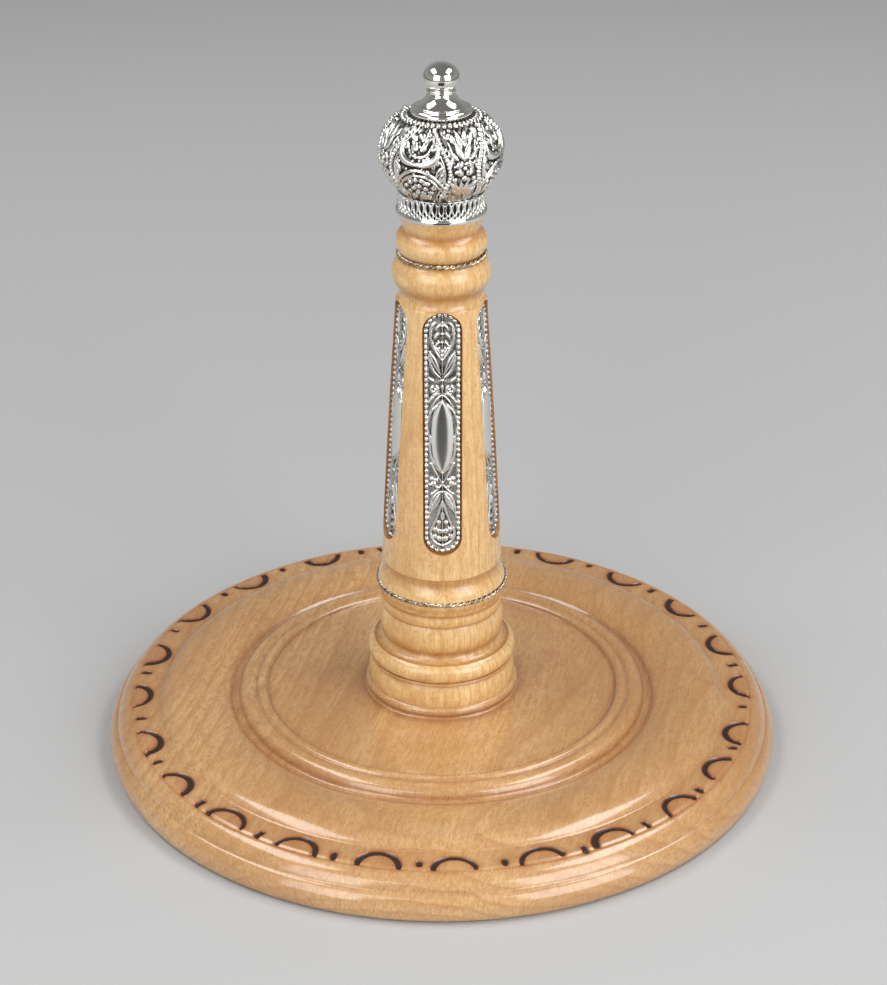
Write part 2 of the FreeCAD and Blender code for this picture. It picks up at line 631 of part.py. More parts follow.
# ---- crown ---------------------------------------------------------------------------------------
def make_rim():
    inner = GALLERY_R + GLUE
    low = LIP_Z + GLUE
    profile = outline(
        at(inner, low),
        at(RIM_R - RIM_EDGE, low),
        (at(RIM_R + RIM_BULGE, low + RIM_HEIGHT / 2), at(RIM_R - RIM_EDGE, low + RIM_HEIGHT)),
        at(inner, low + RIM_HEIGHT),
        at(inner, low))
    return spin(profile)


def gallery_window(low, high):
    """A pointed arch, right through the band, at the front."""
    half = ARCH_WIDTH / 2
    front = -GALLERY_R - GALLERY_THICK
    spring = low + (high - low) * ARCH_SPRING
    wire = outline(
        V(-half, front, low),
        V(half, front, low),
        V(half, front, spring),
        V(0, front, high),
        V(-half, front, spring),
        V(-half, front, low))
    return Part.Face(wire).extrude(V(0, 3 * GALLERY_THICK, 0))


def make_gallery():
    low = LIP_Z + GLUE
    band = ring(GALLERY_R, GALLERY_R - GALLERY_THICK, low, GALLERY_TOP_Z)
    window = gallery_window(low + ARCH_LOW, GALLERY_TOP_Z - ARCH_TOP_GAP)
    windows = [turned(window, 360.0 / GALLERY_ARCHES * n) for n in range(GALLERY_ARCHES)]
    return band.cut(windows)


def make_dome():
    """Shell with a nearly even wall: the inner outline follows the outer one a wall further in."""
    side = SHELL / math.sqrt(2)
    turn = at(DOME_TURN_R, DOME_TOP_Z - DOME_TURN_DROP)
    profile = outline(
        at(DOME_MOUTH_R, DOME_MOUTH_Z),
        at(DOME_LIP_R, DOME_LIP_Z),
        (at(DOME_R, DOME_WIDEST_Z), at(DOME_SHOULDER_R, DOME_SHOULDER_Z)),
        (turn, at(DOME_TOP_R, DOME_TOP_Z)),
        at(DOME_HOLE_R, DOME_TOP_Z),
        at(DOME_HOLE_R, DOME_TOP_Z - SHELL),
        at(DOME_TOP_R - side / 2, DOME_TOP_Z - SHELL),
        (at(turn.x - side, turn.z - SHELL), at(DOME_SHOULDER_R - side, DOME_SHOULDER_Z - side)),
        (at(DOME_R - SHELL, DOME_WIDEST_Z), at(DOME_LIP_R - side, DOME_LIP_Z + side)),
        at(DOME_MOUTH_R - SHELL, DOME_MOUTH_Z),
        at(DOME_MOUTH_R, DOME_MOUTH_Z))
    return spin(profile)


# ---- finial --------------------------------------------------------------------------------------
def make_collar():
    bore = STUD_R + SLIDE_CLEARANCE
    profile = outline(
        at(bore, DOME_TOP_Z),
        at(COLLAR_R - KNOB_EDGE_LOW, DOME_TOP_Z),
        (at(COLLAR_R, DOME_TOP_Z + COLLAR_THICK * COLLAR_WIDEST), at(COLLAR_R - COLLAR_ROUND, KNOB_LOW_Z)),
        at(bore, KNOB_LOW_Z),
        at(bore, DOME_TOP_Z))
    return spin(profile)


def make_knob():
    low = KNOB_LOW_Z
    bore = STUD_R + SCREW_CLEARANCE
    bore_end = STUD_TOP_Z + KNOB_BORE_END_GAP
    flare_middle = at(KNOB_NECK_R + KNOB_FLARE_CURVE.x, KNOB_NECK_Z + KNOB_FLARE_CURVE.z)
    ring_middle = at(KNOB_NECK_R + KNOB_RING, KNOB_NECK_Z + KNOB_RING_H / 2)
    ball_start = at(KNOB_NECK_R, KNOB_NECK_Z + KNOB_RING_H)
    profile = outline(
        at(bore, low),
        at(KNOB_FLARE_R - KNOB_EDGE_LOW, low),
        (at(KNOB_FLARE_R, low + KNOB_EDGE / 2), at(KNOB_FLARE_R - KNOB_EDGE_HIGH, low + KNOB_EDGE)),
        (flare_middle, at(KNOB_NECK_R, KNOB_NECK_Z)),
        (ring_middle, ball_start),
        (at(KNOB_BALL_R, KNOB_BALL_Z), at(KNOB_CAP_R, KNOB_TOP_Z - KNOB_CAP_H)),
        (cap_middle(KNOB_CAP_R, KNOB_CAP_H, KNOB_TOP_Z), at(0, KNOB_TOP_Z)),
        at(0, bore_end),
        at(bore, bore_end),
        at(bore, low))
    return spin(profile)


# ---- everything ----------------------------------------------------------------------------------
def main():
    os.makedirs("parts", exist_ok=True)
    save("base_disc", make_base())
    for n, angle in enumerate(pad_angles(), 1):
        save("foot_pad_%d" % n, make_pad(angle))
    save("base_bolt", make_bolt())
    save("bolt_washer", make_washer())
    save("column_insert", make_column_insert())
    save("column", make_column())
    flat_panel = make_flat_panel()
    for n in range(PANEL_COUNT):
        save("panel_%d" % (n + 1), seat_on_shaft(flat_panel, n))
    save("upper_wire_ring", make_upper_wire())
    save("lower_wire_ring", make_lower_wire())
    save("crown_rim", make_rim())
    save("crown_gallery", make_gallery())
    save("crown_dome", make_dome())
    save("stud_insert", make_stud_insert())
    save("finial_stud", make_stud())
    save("knob_collar", make_collar())
    save("finial_knob", make_knob())


main()
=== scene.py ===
"""Looks for the paper towel holder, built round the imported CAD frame.

Blender works in metres here, and the shapes below are worked out in millimetres (MM turns them into
metres). +Z is up, the front is -Y, and the holder stands on z = 0 round the Z axis.
"""
import math

import bpy
import numpy as np
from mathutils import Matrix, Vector


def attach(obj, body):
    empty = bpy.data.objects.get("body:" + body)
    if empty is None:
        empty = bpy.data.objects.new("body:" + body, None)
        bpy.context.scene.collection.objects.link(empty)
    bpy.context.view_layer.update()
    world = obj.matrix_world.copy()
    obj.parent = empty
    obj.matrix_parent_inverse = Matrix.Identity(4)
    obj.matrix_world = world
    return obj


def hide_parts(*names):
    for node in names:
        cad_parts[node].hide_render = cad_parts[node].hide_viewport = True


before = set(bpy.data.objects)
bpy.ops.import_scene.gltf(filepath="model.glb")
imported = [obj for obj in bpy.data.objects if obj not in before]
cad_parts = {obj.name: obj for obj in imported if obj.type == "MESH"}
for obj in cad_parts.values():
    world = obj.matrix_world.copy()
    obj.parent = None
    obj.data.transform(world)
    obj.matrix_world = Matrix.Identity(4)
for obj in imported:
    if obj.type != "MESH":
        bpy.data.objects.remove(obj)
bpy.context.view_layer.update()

MM = 0.001
rng = np.random.default_rng(23)

# ---- camera --------------------------------------------------------------------------------------
CAMERA_PLACE = (0.0007, -0.7591, 0.4835)
CAMERA_DOWN = 27.08        # degrees below level
CAMERA_LENS = 99.2
SENSOR = 36.0


def make_camera():
    data = bpy.data.cameras.new("camera")
    data.sensor_width = SENSOR
    data.sensor_fit = "HORIZONTAL"
    data.lens = CAMERA_LENS
    data.clip_end = 20
    camera = bpy.data.objects.new("camera", data)
    camera.location = CAMERA_PLACE
    camera.rotation_euler = (math.radians(90 - CAMERA_DOWN), 0, 0)
    bpy.context.scene.collection.objects.link(camera)
    bpy.context.scene.camera = camera


# ---- node helpers --------------------------------------------------------------------------------
class Shader:
    """A material's node tree, with short calls for the nodes used here."""

    def __init__(self, name):
        self.material = bpy.data.materials.new(name)
        self.material.use_nodes = True
        self.tree = self.material.node_tree
        self.tree.nodes.clear()
        self.out = self.tree.nodes.new("ShaderNodeOutputMaterial")
        self.bsdf = self.tree.nodes.new("ShaderNodeBsdfPrincipled")
        self.tree.links.new(self.bsdf.outputs[0], self.out.inputs[0])

    def node(self, kind, **settings):
        made = self.tree.nodes.new("ShaderNode" + kind)
        for key, value in settings.items():
            setattr(made, key, value)
        return made

    def plug(self, value, socket):
        if isinstance(value, bpy.types.NodeSocket):
            self.tree.links.new(value, socket)
        else:
            socket.default_value = value

    def math(self, operation, a, b=0.0, c=0.0, clamp=False):
        made = self.node("Math", operation=operation, use_clamp=clamp)
        for value, socket in zip((a, b, c), made.inputs):
            self.plug(value, socket)
        return made.outputs[0]

    def vector(self, operation, a, b):
        made = self.node("VectorMath", operation=operation)
        self.plug(a, made.inputs[0])
        self.plug(b, made.inputs[1])
        return made.outputs[0]

    def place(self):
        return self.node("TexCoord").outputs["Object"]

    def noise(self, where, scale, detail=2.0, rough=0.5):
        made = self.node("TexNoise")
        self.plug(where, made.inputs["Vector"])
        made.inputs["Scale"].default_value = scale
        made.inputs["Detail"].default_value = detail
        made.inputs["Roughness"].default_value = rough
        return made.outputs["Fac"]

    def ramp(self, value, *stops):
        """stops are (position, grey or colour); the run between two stops is straight."""
        made = self.node("ValToRGB")
        self.plug(value, made.inputs[0])
        elements = made.color_ramp.elements
        while len(elements) < len(stops):
            elements.new(0.5)
        for element, (position, shade) in zip(elements, stops):
            element.position = position
            colour = (shade,) * 3 if isinstance(shade, (int, float)) else shade
            element.color = (*colour, 1)
        return made.outputs[0]

    def span(self, value, low, high, new_low=0.0, new_high=1.0, smooth=True):
        made = self.node("MapRange", interpolation_type="SMOOTHSTEP" if smooth else "LINEAR")
        for number, socket in zip((value, low, high, new_low, new_high), made.inputs):
            self.plug(number, socket)
        return made.outputs[0]

    def mix(self, share, a, b, how="MIX"):
        made = self.node("Mix", data_type="RGBA", blend_type=how)
        self.plug(share, made.inputs[0])
        for value, socket in ((a, made.inputs[6]), (b, made.inputs[7])):
            if isinstance(value, tuple):
                value = (*value[:3], 1)
            self.plug(value, socket)
        return made.outputs[2]

    def attribute(self, name):
        return self.node("Attribute", attribute_name=name).outputs["Fac"]

    def bump(self, height, strength, distance):
        made = self.node("Bump")
        self.plug(height, made.inputs["Height"])
        made.inputs["Strength"].default_value = strength
        made.inputs["Distance"].default_value = distance
        return made.outputs[0]

    def set(self, **values):
        for key, value in values.items():
            socket = self.bsdf.inputs[key.replace("_", " ")]
            if isinstance(value, tuple) and len(value) == 3:
                value = (*value, 1)
            self.plug(value, socket)


def linear(red, green, blue):
    """Linear colour from 0 to 255 screen values."""
    return tuple(((c / 255 + 0.055) / 1.055) ** 2.4 for c in (red, green, blue))


# ---- wood ----------------------------------------------------------------------------------------
def beech(name, pith, grain_turn, light, dark, fleck, ring_pitch, cove_shade, cove_reach, cove_low, gloss,
          coat_rough, burnt=False, shade_bands=()):
    """Lacquered beech as a solid: year rings round a pith line, fibres along it, rays across it.

    pith is a point on the pith line in metres, and grain_turn the Euler angles that turn Z onto it.
    cove_shade is what the wood's colour is multiplied by in a deep cove: painted shade, with some
    lacquer pooled there too. cove_reach is how far in metres a cove is felt, and cove_low the
    openness, from 0 to 1, at which the painted shade is full. shade_bands are coves that get more
    painted shade: height in mm, half-width in mm and strength. Burnt wood has the attributes "burn",
    which is 1 in a mark, and "scorch", the brown round it.
    """
    s = Shader(name)
    here = s.node("Mapping", vector_type="TEXTURE")
    s.plug(s.place(), here.inputs["Vector"])
    here.inputs["Location"].default_value = pith
    here.inputs["Rotation"].default_value = grain_turn
    here = here.outputs[0]
    soft = s.vector("MULTIPLY", here, (1, 1, 0.25))
    sway = s.noise(soft, 14, 2, 0.5)
    sway_2 = s.noise(s.vector("ADD", soft, (3.1, 1.7, 0.4)), 14, 2, 0.5)
    push = s.node("CombineXYZ")
    s.plug(s.math("MULTIPLY_ADD", sway, 0.020, -0.010), push.inputs[0])
    s.plug(s.math("MULTIPLY_ADD", sway_2, 0.020, -0.010), push.inputs[1])
    bent = s.vector("ADD", here, push.outputs[0])
    parts = s.node("SeparateXYZ")
    s.plug(bent, parts.inputs[0])
    x, y, along = parts.outputs
    radius = s.math("SQRT", s.math("ADD", s.math("MULTIPLY", x, x), s.math("MULTIPLY", y, y)))
    pith_far = math.hypot(pith[0], pith[2]) if grain_turn[0] else math.hypot(pith[0], pith[1])
    around = s.math("MULTIPLY", s.math("ARCTAN2", y, x), pith_far)

    ring_place = s.math("DIVIDE", radius, ring_pitch)
    uneven = s.noise(soft, 30, 3, 0.6)
    ring_place = s.math("MULTIPLY_ADD", uneven, 0.9, ring_place)
    year = s.math("FRACT", ring_place)
    late = s.ramp(year, (0.0, 0.15), (0.55, 0.35), (0.9, 1.0), (1.0, 0.15))

    def cells(across, deep, long):
        made = s.node("CombineXYZ")
        s.plug(s.math("DIVIDE", around, across), made.inputs[0])
        s.plug(s.math("DIVIDE", radius, deep), made.inputs[1])
        s.plug(s.math("DIVIDE", along, long), made.inputs[2])
        return made.outputs[0]

    ray = s.noise(cells(0.00030, 0.006, 0.0017), 1.0, 1.0, 0.4)
    ray = s.span(ray, 0.60, 0.78)
    fine_ray = s.noise(cells(0.00018, 0.004, 0.0009), 1.0, 1.0, 0.4)
    fine_ray = s.span(fine_ray, 0.50, 0.75)
    fibre = s.noise(cells(0.0005, 0.0008, 0.018), 1.0, 3.0, 0.6)
    tone = s.noise(s.vector("MULTIPLY", here, (1, 1, 0.3)), 22, 3, 0.55)

    mottle = s.noise(cells(0.0012, 0.0016, 0.0042), 1.0, 2.0, 0.6)
    colour = s.mix(s.math("MULTIPLY", late, 0.5), light, dark)
    colour = s.mix(s.span(tone, 0.35, 0.68, 0.0, 0.5), colour, dark)
    colour = s.mix(s.span(mottle, 0.40, 0.66, 0.0, 0.42), colour, dark)
    colour = s.mix(s.span(fibre, 0.35, 0.7, 0.0, 0.42), colour, dark)
    colour = s.mix(s.math("MULTIPLY", fine_ray, 0.30), colour, fleck)
    colour = s.mix(s.math("MULTIPLY", ray, 0.34), colour, fleck)
    # painted shade: ambient occlusion darkens the wood in its coves, where shade falls; lacquer pools
    # there too
    cove = s.node("AmbientOcclusion", samples=6, only_local=True)
    cove.inputs["Distance"].default_value = cove_reach
    shaded = s.span(cove.outputs["AO"], cove_low, 0.97, 1.0, 0.0, smooth=False)
    # shade_bands paint extra shade into the coves at the given heights
    if shade_bands:
        level = s.node("SeparateXYZ")
        s.plug(s.place(), level.inputs[0])
        for z, half, strength in shade_bands:
            gap = s.math("ABSOLUTE", s.math("SUBTRACT", level.outputs[2], z / 1000))
            shaded = s.math("MAXIMUM", shaded, s.span(gap, 0.0, half / 1000, strength, 0.0))
    deep = s.mix(1.0, colour, cove_shade, "MULTIPLY")
    colour = s.mix(shaded, colour, deep)
    rough = 0.42
    if burnt:
        scorch = s.attribute("scorch")
        burn = s.attribute("burn")
        grit = s.noise(s.place(), 1400, 3, 0.65)
        colour = s.mix(s.math("MULTIPLY", scorch, 0.85), colour, linear(170, 96, 38))
        char = s.mix(s.span(grit, 0.35, 0.7), linear(20, 9, 5), linear(56, 30, 17))
        colour = s.mix(s.math("MULTIPLY", burn, 0.98), colour, char)
        rough = s.math("MULTIPLY_ADD", burn, 0.4, rough)
        gloss = s.math("MULTIPLY_ADD", burn, -0.8 * gloss, gloss)
    s.set(Base_Color=colour, Roughness=rough, IOR=1.5)
    s.set(Coat_Weight=gloss, Coat_Roughness=coat_rough, Coat_IOR=1.6)
    skin = s.noise(s.place(), 260, 2, 0.5)
    pores = s.math("MULTIPLY_ADD", ray, -0.25, skin)
    lacquer = s.math("MULTIPLY_ADD", s.math("MULTIPLY", burn, grit), 24, skin) if burnt else skin
    s.set(Normal=s.bump(pores, 0.10, 0.0004), Coat_Normal=s.bump(lacquer, 0.06, 0.0004))
    return s.material


# ---- metals and felt -----------------------------------------------------------------------------
def stamped_silver():
    """Silver, dark in the hollows: tarnish, and painted shade in the gallery's windows.

    The attribute "hollow" is 1 deep down and 0 on top.
    """
    s = Shader("stamped_silver")
    hollow = s.attribute("hollow")
    cloud = s.noise(s.place(), 420, 3, 0.6)
    depth = s.math("ADD", hollow, s.math("MULTIPLY_ADD", cloud, 0.5, -0.25), clamp=True)
    tarnish_and_shade = s.span(depth, 0.26, 0.68)
    colour = s.mix(tarnish_and_shade, linear(240, 239, 234), linear(36, 31, 25))
    s.set(Base_Color=colour, Metallic=s.span(tarnish_and_shade, 0.2, 1.0, 1.0, 0.55))
    s.set(Roughness=s.span(tarnish_and_shade, 0.0, 1.0, 0.22, 0.5))
    s.set(Normal=s.bump(s.noise(s.place(), 900, 2, 0.5), 0.12, 0.0001))
    return s.material


def polished_silver():
    s = Shader("polished_silver")
    wear = s.noise(s.place(), 130, 4, 0.6)
    s.set(Base_Color=s.mix(s.span(wear, 0.3, 0.7), linear(246, 244, 238), linear(226, 224, 216)))
    s.set(Metallic=1.0, Roughness=s.span(wear, 0.3, 0.75, 0.05, 0.12))
    return s.material


def twisted_silver():
    s = Shader("twisted_silver")
    cloud = s.noise(s.place(), 300, 3, 0.6)
    # painted reflection: the wire's warm brown stands in for the wood reflected in it
    s.set(Base_Color=s.mix(s.span(cloud, 0.4, 0.75), linear(208, 194, 174), linear(116, 96, 76)))
    s.set(Metallic=1.0, Roughness=s.span(cloud, 0.3, 0.8, 0.2, 0.42))
    return s.material


def plated_steel():
    s = Shader("zinc_steel")
    cloud = s.noise(s.place(), 180, 4, 0.6)
    s.set(Base_Color=s.mix(cloud, linear(176, 180, 186), linear(142, 146, 152)))
    s.set(Metallic=1.0, Roughness=s.span(cloud, 0.2, 0.8, 0.26, 0.4))
    return s.material


def plain_brass():
    s = Shader("brass")
    cloud = s.noise(s.place(), 200, 4, 0.6)
    s.set(Base_Color=s.mix(cloud, linear(205, 170, 96), linear(168, 132, 66)))
    s.set(Metallic=1.0, Roughness=s.span(cloud, 0.2, 0.8, 0.22, 0.4))
    return s.material


def brown_felt():
    s = Shader("felt")
    fluff = s.noise(s.place(), 1900, 4, 0.7)
    s.set(Base_Color=s.mix(fluff, linear(58, 44, 34), linear(104, 84, 66)), Roughness=0.95)
    s.set(Sheen_Weight=0.4, Normal=s.bump(fluff, 0.5, 0.0004))
    return s.material


# ---- floor and light -----------------------------------------------------------------------------
def make_floor():
    s = Shader("studio_floor")
    far = s.node("VectorMath", operation="LENGTH")
    s.plug(s.place(), far.inputs[0])
    # painted light: the floor gets paler farther out, standing in for more light on the far floor
    painted_far_light = s.span(far.outputs["Value"], 0.12, 0.95)
    s.set(Base_Color=s.mix(painted_far_light, linear(190, 190, 190), linear(214, 214, 214)))
    s.set(Roughness=0.75, Specular_IOR_Level=0.2)
    mesh = bpy.data.meshes.new("studio_floor")
    half = 6.0
    mesh.from_pydata([(-half, -half, 0), (half, -half, 0), (half, half, 0), (-half, half, 0)], [],
                     [(0, 1, 2, 3)])
    mesh.materials.append(s.material)
    floor = bpy.data.objects.new("studio_floor", mesh)
    bpy.context.scene.collection.objects.link(floor)


def area_light(name, place, target, size, power):
    data = bpy.data.lights.new(name, "AREA")
    data.shape = "RECTANGLE"
    data.size, data.size_y = size
    data.energy = power
    light = bpy.data.objects.new(name, data)
    light.location = place
    aim = Vector(target) - Vector(place)
    light.rotation_euler = aim.to_track_quat("-Z", "Y").to_euler()
    bpy.context.scene.collection.objects.link(light)


def dark_card():
    """A card in front, seen only in reflections: it darkens the middle of the polished metal."""
    s = Shader("dark_card")
    s.set(Base_Color=(0.03, 0.03, 0.03), Roughness=0.9)
    half, low, high, y = 0.10, 0.002, 0.16, -0.27
    mesh = bpy.data.meshes.new("dark_card")
    mesh.from_pydata([(-half, y, low), (half, y, low), (half, y, high), (-half, y, high)], [],
                     [(0, 1, 2, 3)])
    mesh.materials.append(s.material)
    card = bpy.data.objects.new("dark_card", mesh)
    bpy.context.scene.collection.objects.link(card)
    card.visible_camera = False
    card.visible_diffuse = False
    card.visible_shadow = False


def make_light():
    """Two soft boxes above and two in front; the world is brighter low down than overhead."""
    world = bpy.data.worlds.new("studio")
    world.use_nodes = True
    tree = world.node_tree
    where = tree.nodes.new("ShaderNodeTexCoord")
    parts = tree.nodes.new("ShaderNodeSeparateXYZ")
    shade = tree.nodes.new("ShaderNodeMapRange")
    shade.interpolation_type = "SMOOTHSTEP"
    tree.links.new(where.outputs["Generated"], parts.inputs[0])
    tree.links.new(parts.outputs[2], shade.inputs[0])
    for socket, number in zip(shade.inputs[1:5], (-0.1, 0.9, 0.34, 0.18)):
        socket.default_value = number
    back = tree.nodes["Background"]
    back.inputs[0].default_value = (1, 1, 1, 1)
    tree.links.new(shade.outputs[0], back.inputs[1])
    bpy.context.scene.world = world
    area_light("top_left", (-0.62, -0.02, 1.05), (0, 0, 0.02), (0.76, 0.36), 4.6)
    area_light("top_right", (0.62, -0.02, 1.05), (0, 0, 0.02), (0.76, 0.36), 5.2)
    area_light("front_left", (-0.60, -1.00, 0.60), (0, 0, 0.10), (0.80, 0.85), 6.8)
    area_light("front_right", (0.80, -0.86, 0.60), (0, 0, 0.10), (0.80, 0.85), 9.0)
    bpy.context.scene.view_settings.view_transform = "Standard"


# ---- meshes --------------------------------------------------------------------------------------
def solid(name, points, faces, material, body, nodes, shades=()):
    """A smooth piece from points in millimetres; shades are (attribute name, value at each point)."""
    mesh = bpy.data.meshes.new(name)
    mesh.from_pydata((np.asarray(points) * MM).tolist(), [], [list(f) for f in faces])
    mesh.update()
    mesh.shade_smooth()
    for shade, values in shades:
        layer = mesh.attributes.new(shade, "FLOAT", "POINT")
        layer.data.foreach_set("value", np.asarray(values, dtype=np.float32))
    mesh.materials.append(material)
    piece = bpy.data.objects.new(name, mesh)
    bpy.context.scene.collection.objects.link(piece)
    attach(piece, body)
    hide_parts(*nodes)


def circle(a, b, c):
    """Middle and radius of the circle through three points."""
    a, b, c = (np.array(p, dtype=float) for p in (a, b, c))
    hub = np.linalg.solve(2 * np.array([b - a, c - a]), np.array([b @ b - a @ a, c @ c - a @ a]))
    return hub, np.linalg.norm(a - hub)


def through(start, middle, end, count):
    """Points after start on the circle through three (radius, height) points."""
    hub, size = circle(start, middle, end)
    turns = np.unwrap([math.atan2(p[1] - hub[1], p[0] - hub[0]) for p in (start, middle, end)])
    angles = np.linspace(turns[0], turns[2], count + 1)[1:]
    return [(hub[0] + size * math.cos(t), hub[1] + size * math.sin(t)) for t in angles]


def outline(start, *steps):
    """(radius, height) points: a step is a point, or (middle, end, count) for an arc.

    Each end of a straight run has a second point close by, which keeps its corner crisp.
    """
    crisp = 0.12
    points = [start]
    for step in steps:
        here = np.array(points[-1], dtype=float)
        if len(step) == 3:
            points += through(points[-1], *step)
            continue
        run = np.array(step, dtype=float) - here
        length = np.linalg.norm(run)
        if length > 3 * crisp:
            points.append(tuple(here + run * crisp / length))
            points.append(tuple(here + run * (1 - crisp / length)))
        points.append(tuple(step))
    return points


def ring_faces(first, second, count):
    """Quads between two rings of the same number of points."""
    n = np.arange(count)
    nxt = (n + 1) % count
    return np.stack([first + n, first + nxt, second + nxt, second + n], axis=1).tolist()


def step_faces(coarse, fine, count, ratio, outwards):
    """Faces between a ring of `count` points and one with `ratio` times as many."""
    faces = []
    for n in range(count):
        nxt = (n + 1) % count
        row = [fine + (n * ratio + k) % (count * ratio) for k in range(ratio + 1)]
        face = [coarse + n, coarse + nxt] + row[::-1]
        faces.append(face if outwards else face[::-1])
    return faces


def closed_faces(rings, columns):
    """Quads of a closed lathe: each ring is joined to the next, and the last to the first."""
    faces = []
    for n in range(rings):
        faces += ring_faces(n * columns, (n + 1) % rings * columns, columns)
    return faces


# ---- base ----------------------------------------------------------------------------------------
BASE_R = 120.4
LEDGE_R = 110.6
LEDGE_Z = 15.5
MARK_COUNT = 23
MARK_TURN = -5.8
MARK_CROWDING = 4.8
CROWDED_AT = 22.0
ARC_R = 7.1
ARC_SPAN = 155.0
ARC_MIDDLE_R = 111.6
STROKE_MIDDLE_R = 109.3
STROKE_HALF_LENGTH = 0.8
BURN_DEPTH = 0.72
BURN_HALF = 1.2
EDGE_DROP = 0.55           # the ledge's outer edge is rounded off by this much
EDGE_RUN = 0.8             # over this width
COARSE = 414               # points round a ring of the base: 18 for each arc and its stroke
FINE_RATIO = 5             # rings on the ledge have this many times more, for the burnt marks
FINE_LOW_R = 103.0
FINE_HIGH_R = 111.7
FAR_OFF = 99.0             # a distance in mm beyond every shape it is compared with


def mark_angle(place):
    even = 360.0 / MARK_COUNT * place
    return MARK_TURN + even - MARK_CROWDING * math.sin(math.radians(even - CROWDED_AT))


def burnt_depth(x, y):
    """Depth, burn and scorch of the hand-burnt marks at points on the ledge."""
    depth = np.zeros_like(x)
    burn = np.zeros_like(x)
    near = np.full_like(x, FAR_OFF)
    inside = np.zeros_like(x)

    def stamp(distance, half, strength):
        shape = np.clip(1 - (distance / half) ** 2, 0, None) ** 0.6
        np.maximum(depth, BURN_DEPTH * strength * shape, out=depth)
        edge = np.clip((half * 1.06 - distance) / (half * 0.30), 0, 1)
        np.maximum(burn, edge, out=burn)
        np.minimum(near, np.clip(distance - half, 0, None), out=near)

    for n in range(MARK_COUNT):
        turn = math.radians(mark_angle(n) + rng.normal(0, 0.35))
        out = np.array([math.sin(turn), -math.cos(turn)])
        side = np.array([math.cos(turn), math.sin(turn)])
        lean = math.radians(rng.normal(0, 7))
        long_way = out * math.cos(lean) + side * math.sin(lean)
        half_length = STROKE_HALF_LENGTH * rng.uniform(0.6, 1.4)
        middle = out * (STROKE_MIDDLE_R + rng.normal(0, 0.35))
        dx, dy = x - middle[0], y - middle[1]
        along = dx * long_way[0] + dy * long_way[1]
        across = dx * -long_way[1] + dy * long_way[0]
        past = np.clip(np.abs(along) - half_length, 0, None)
        half = BURN_HALF * rng.uniform(0.85, 1.1)
        stamp(np.hypot(across, past), half, 0.9)

        turn = math.radians(mark_angle(n + 0.5) + rng.normal(0, 0.45))
        hub_r = ARC_MIDDLE_R + rng.normal(0, 0.25)
        hub = hub_r * np.array([math.sin(turn), -math.cos(turn)])
        dx, dy = x - hub[0], y - hub[1]
        inwards = -(dx * math.sin(turn) - dy * math.cos(turn))
        sideways = dx * math.cos(turn) + dy * math.sin(turn)
        far = np.hypot(inwards, sideways)
        heading = np.degrees(np.arctan2(sideways, inwards))
        radius = ARC_R * rng.uniform(0.95, 1.04)
        wobble = 0.22 * np.sin(np.radians(heading * 2.2) + rng.uniform(0, 6))
        reach_low = ARC_SPAN / 2 * rng.uniform(0.92, 1.05)
        reach_high = ARC_SPAN / 2 * rng.uniform(0.92, 1.05)
        past = np.clip(np.maximum(heading - reach_high, -reach_low - heading), 0, None)
        past = np.radians(past) * radius
        distance = np.hypot(far - radius - wobble, past)
        lean = rng.uniform(-1, 1)
        half = BURN_HALF * rng.uniform(0.9, 1.08) * (1 + 0.34 * lean * heading / 90)
        stamp(distance, half, 1.0)
        cup = (far < radius) & (inwards > -1.0)
        np.maximum(inside, np.where(cup, 1 - 0.35 * (far / radius), 0), out=inside)
    scorch = np.clip(np.exp(-near / 0.75) + 0.34 * inside, 0, 1)
    return depth, burn, scorch


def make_base(material):
    rim = outline(
        (11.0, 0.8), (119.5, 0.8),
        ((BASE_R, 4.2), (117.8, 9.6), 16),
        (117.2, 9.9),
        ((115.3, 13.0), (112.2, 14.95), 14),
        (FINE_HIGH_R, 14.83))
    ledge = [(r, LEDGE_Z - EDGE_DROP * min(1, max(0, (r - LEDGE_R) / EDGE_RUN)) ** 0.6)
             for r in np.linspace(FINE_HIGH_R - 0.35, FINE_LOW_R + 0.35, 24)]
    inner = outline(
        (FINE_LOW_R, LEDGE_Z), (102.0, LEDGE_Z),
        ((98.7, 17.75), (94.8, 18.6), 12),
        ((89.3, 19.0), (76.6, 16.9), 16),
        ((74.4, 15.9), (73.2, 16.5), 6),
        ((70.65, 19.9), (66.9, 19.4), 14),
        ((64.85, 20.5), (62.8, 18.7), 10),
        (60.2, 19.2), (27.7, 19.2),
        ((26.95, 19.7), (27.2, 20.6), 5),
        ((27.1, 22.3), (26.3, 23.2), 6),
        (13.1, 23.2), (13.1, 12.7), (4.4, 12.7), (4.4, 8.6), (11.0, 8.6))
    rows = [(r, z, 1) for r, z in rim] + [(r, z, FINE_RATIO) for r, z in ledge]
    rows += [(r, z, 1) for r, z in inner]
    points, starts = [], []
    for r, z, ratio in rows:
        starts.append(sum(len(p) for p in points))
        turn = np.arange(COARSE * ratio) * (2 * math.pi / (COARSE * ratio))
        points.append(np.stack([r * np.sin(turn), -r * np.cos(turn), np.full_like(turn, z)], axis=1))
    points = np.concatenate(points)
    faces = []
    for n in range(len(rows)):
        nxt = (n + 1) % len(rows)
        a, b = rows[n][2], rows[nxt][2]
        if a == b:
            faces += ring_faces(starts[n], starts[nxt], COARSE * a)
        elif a < b:
            faces += step_faces(starts[n], starts[nxt], COARSE, FINE_RATIO, True)
        else:
            faces += step_faces(starts[nxt], starts[n], COARSE, FINE_RATIO, False)
    x, y = points[:, 0], points[:, 1]
    far = np.hypot(x, y)
    # the marks lie on the ledge, and the arcs' feet run a little over its edge
    on_top = (points[:, 2] > 13.0) & (far > 98) & (far < 116)
    depth, burn, scorch = burnt_depth(x, y)
    points[:, 2] -= np.where(on_top, depth, 0)
    shades = (("burn", np.where(on_top, burn, 0)), ("scorch", np.where(on_top, scorch, 0)))
    solid("base_turning", points, faces, material, "base", ["base_disc"], shades)


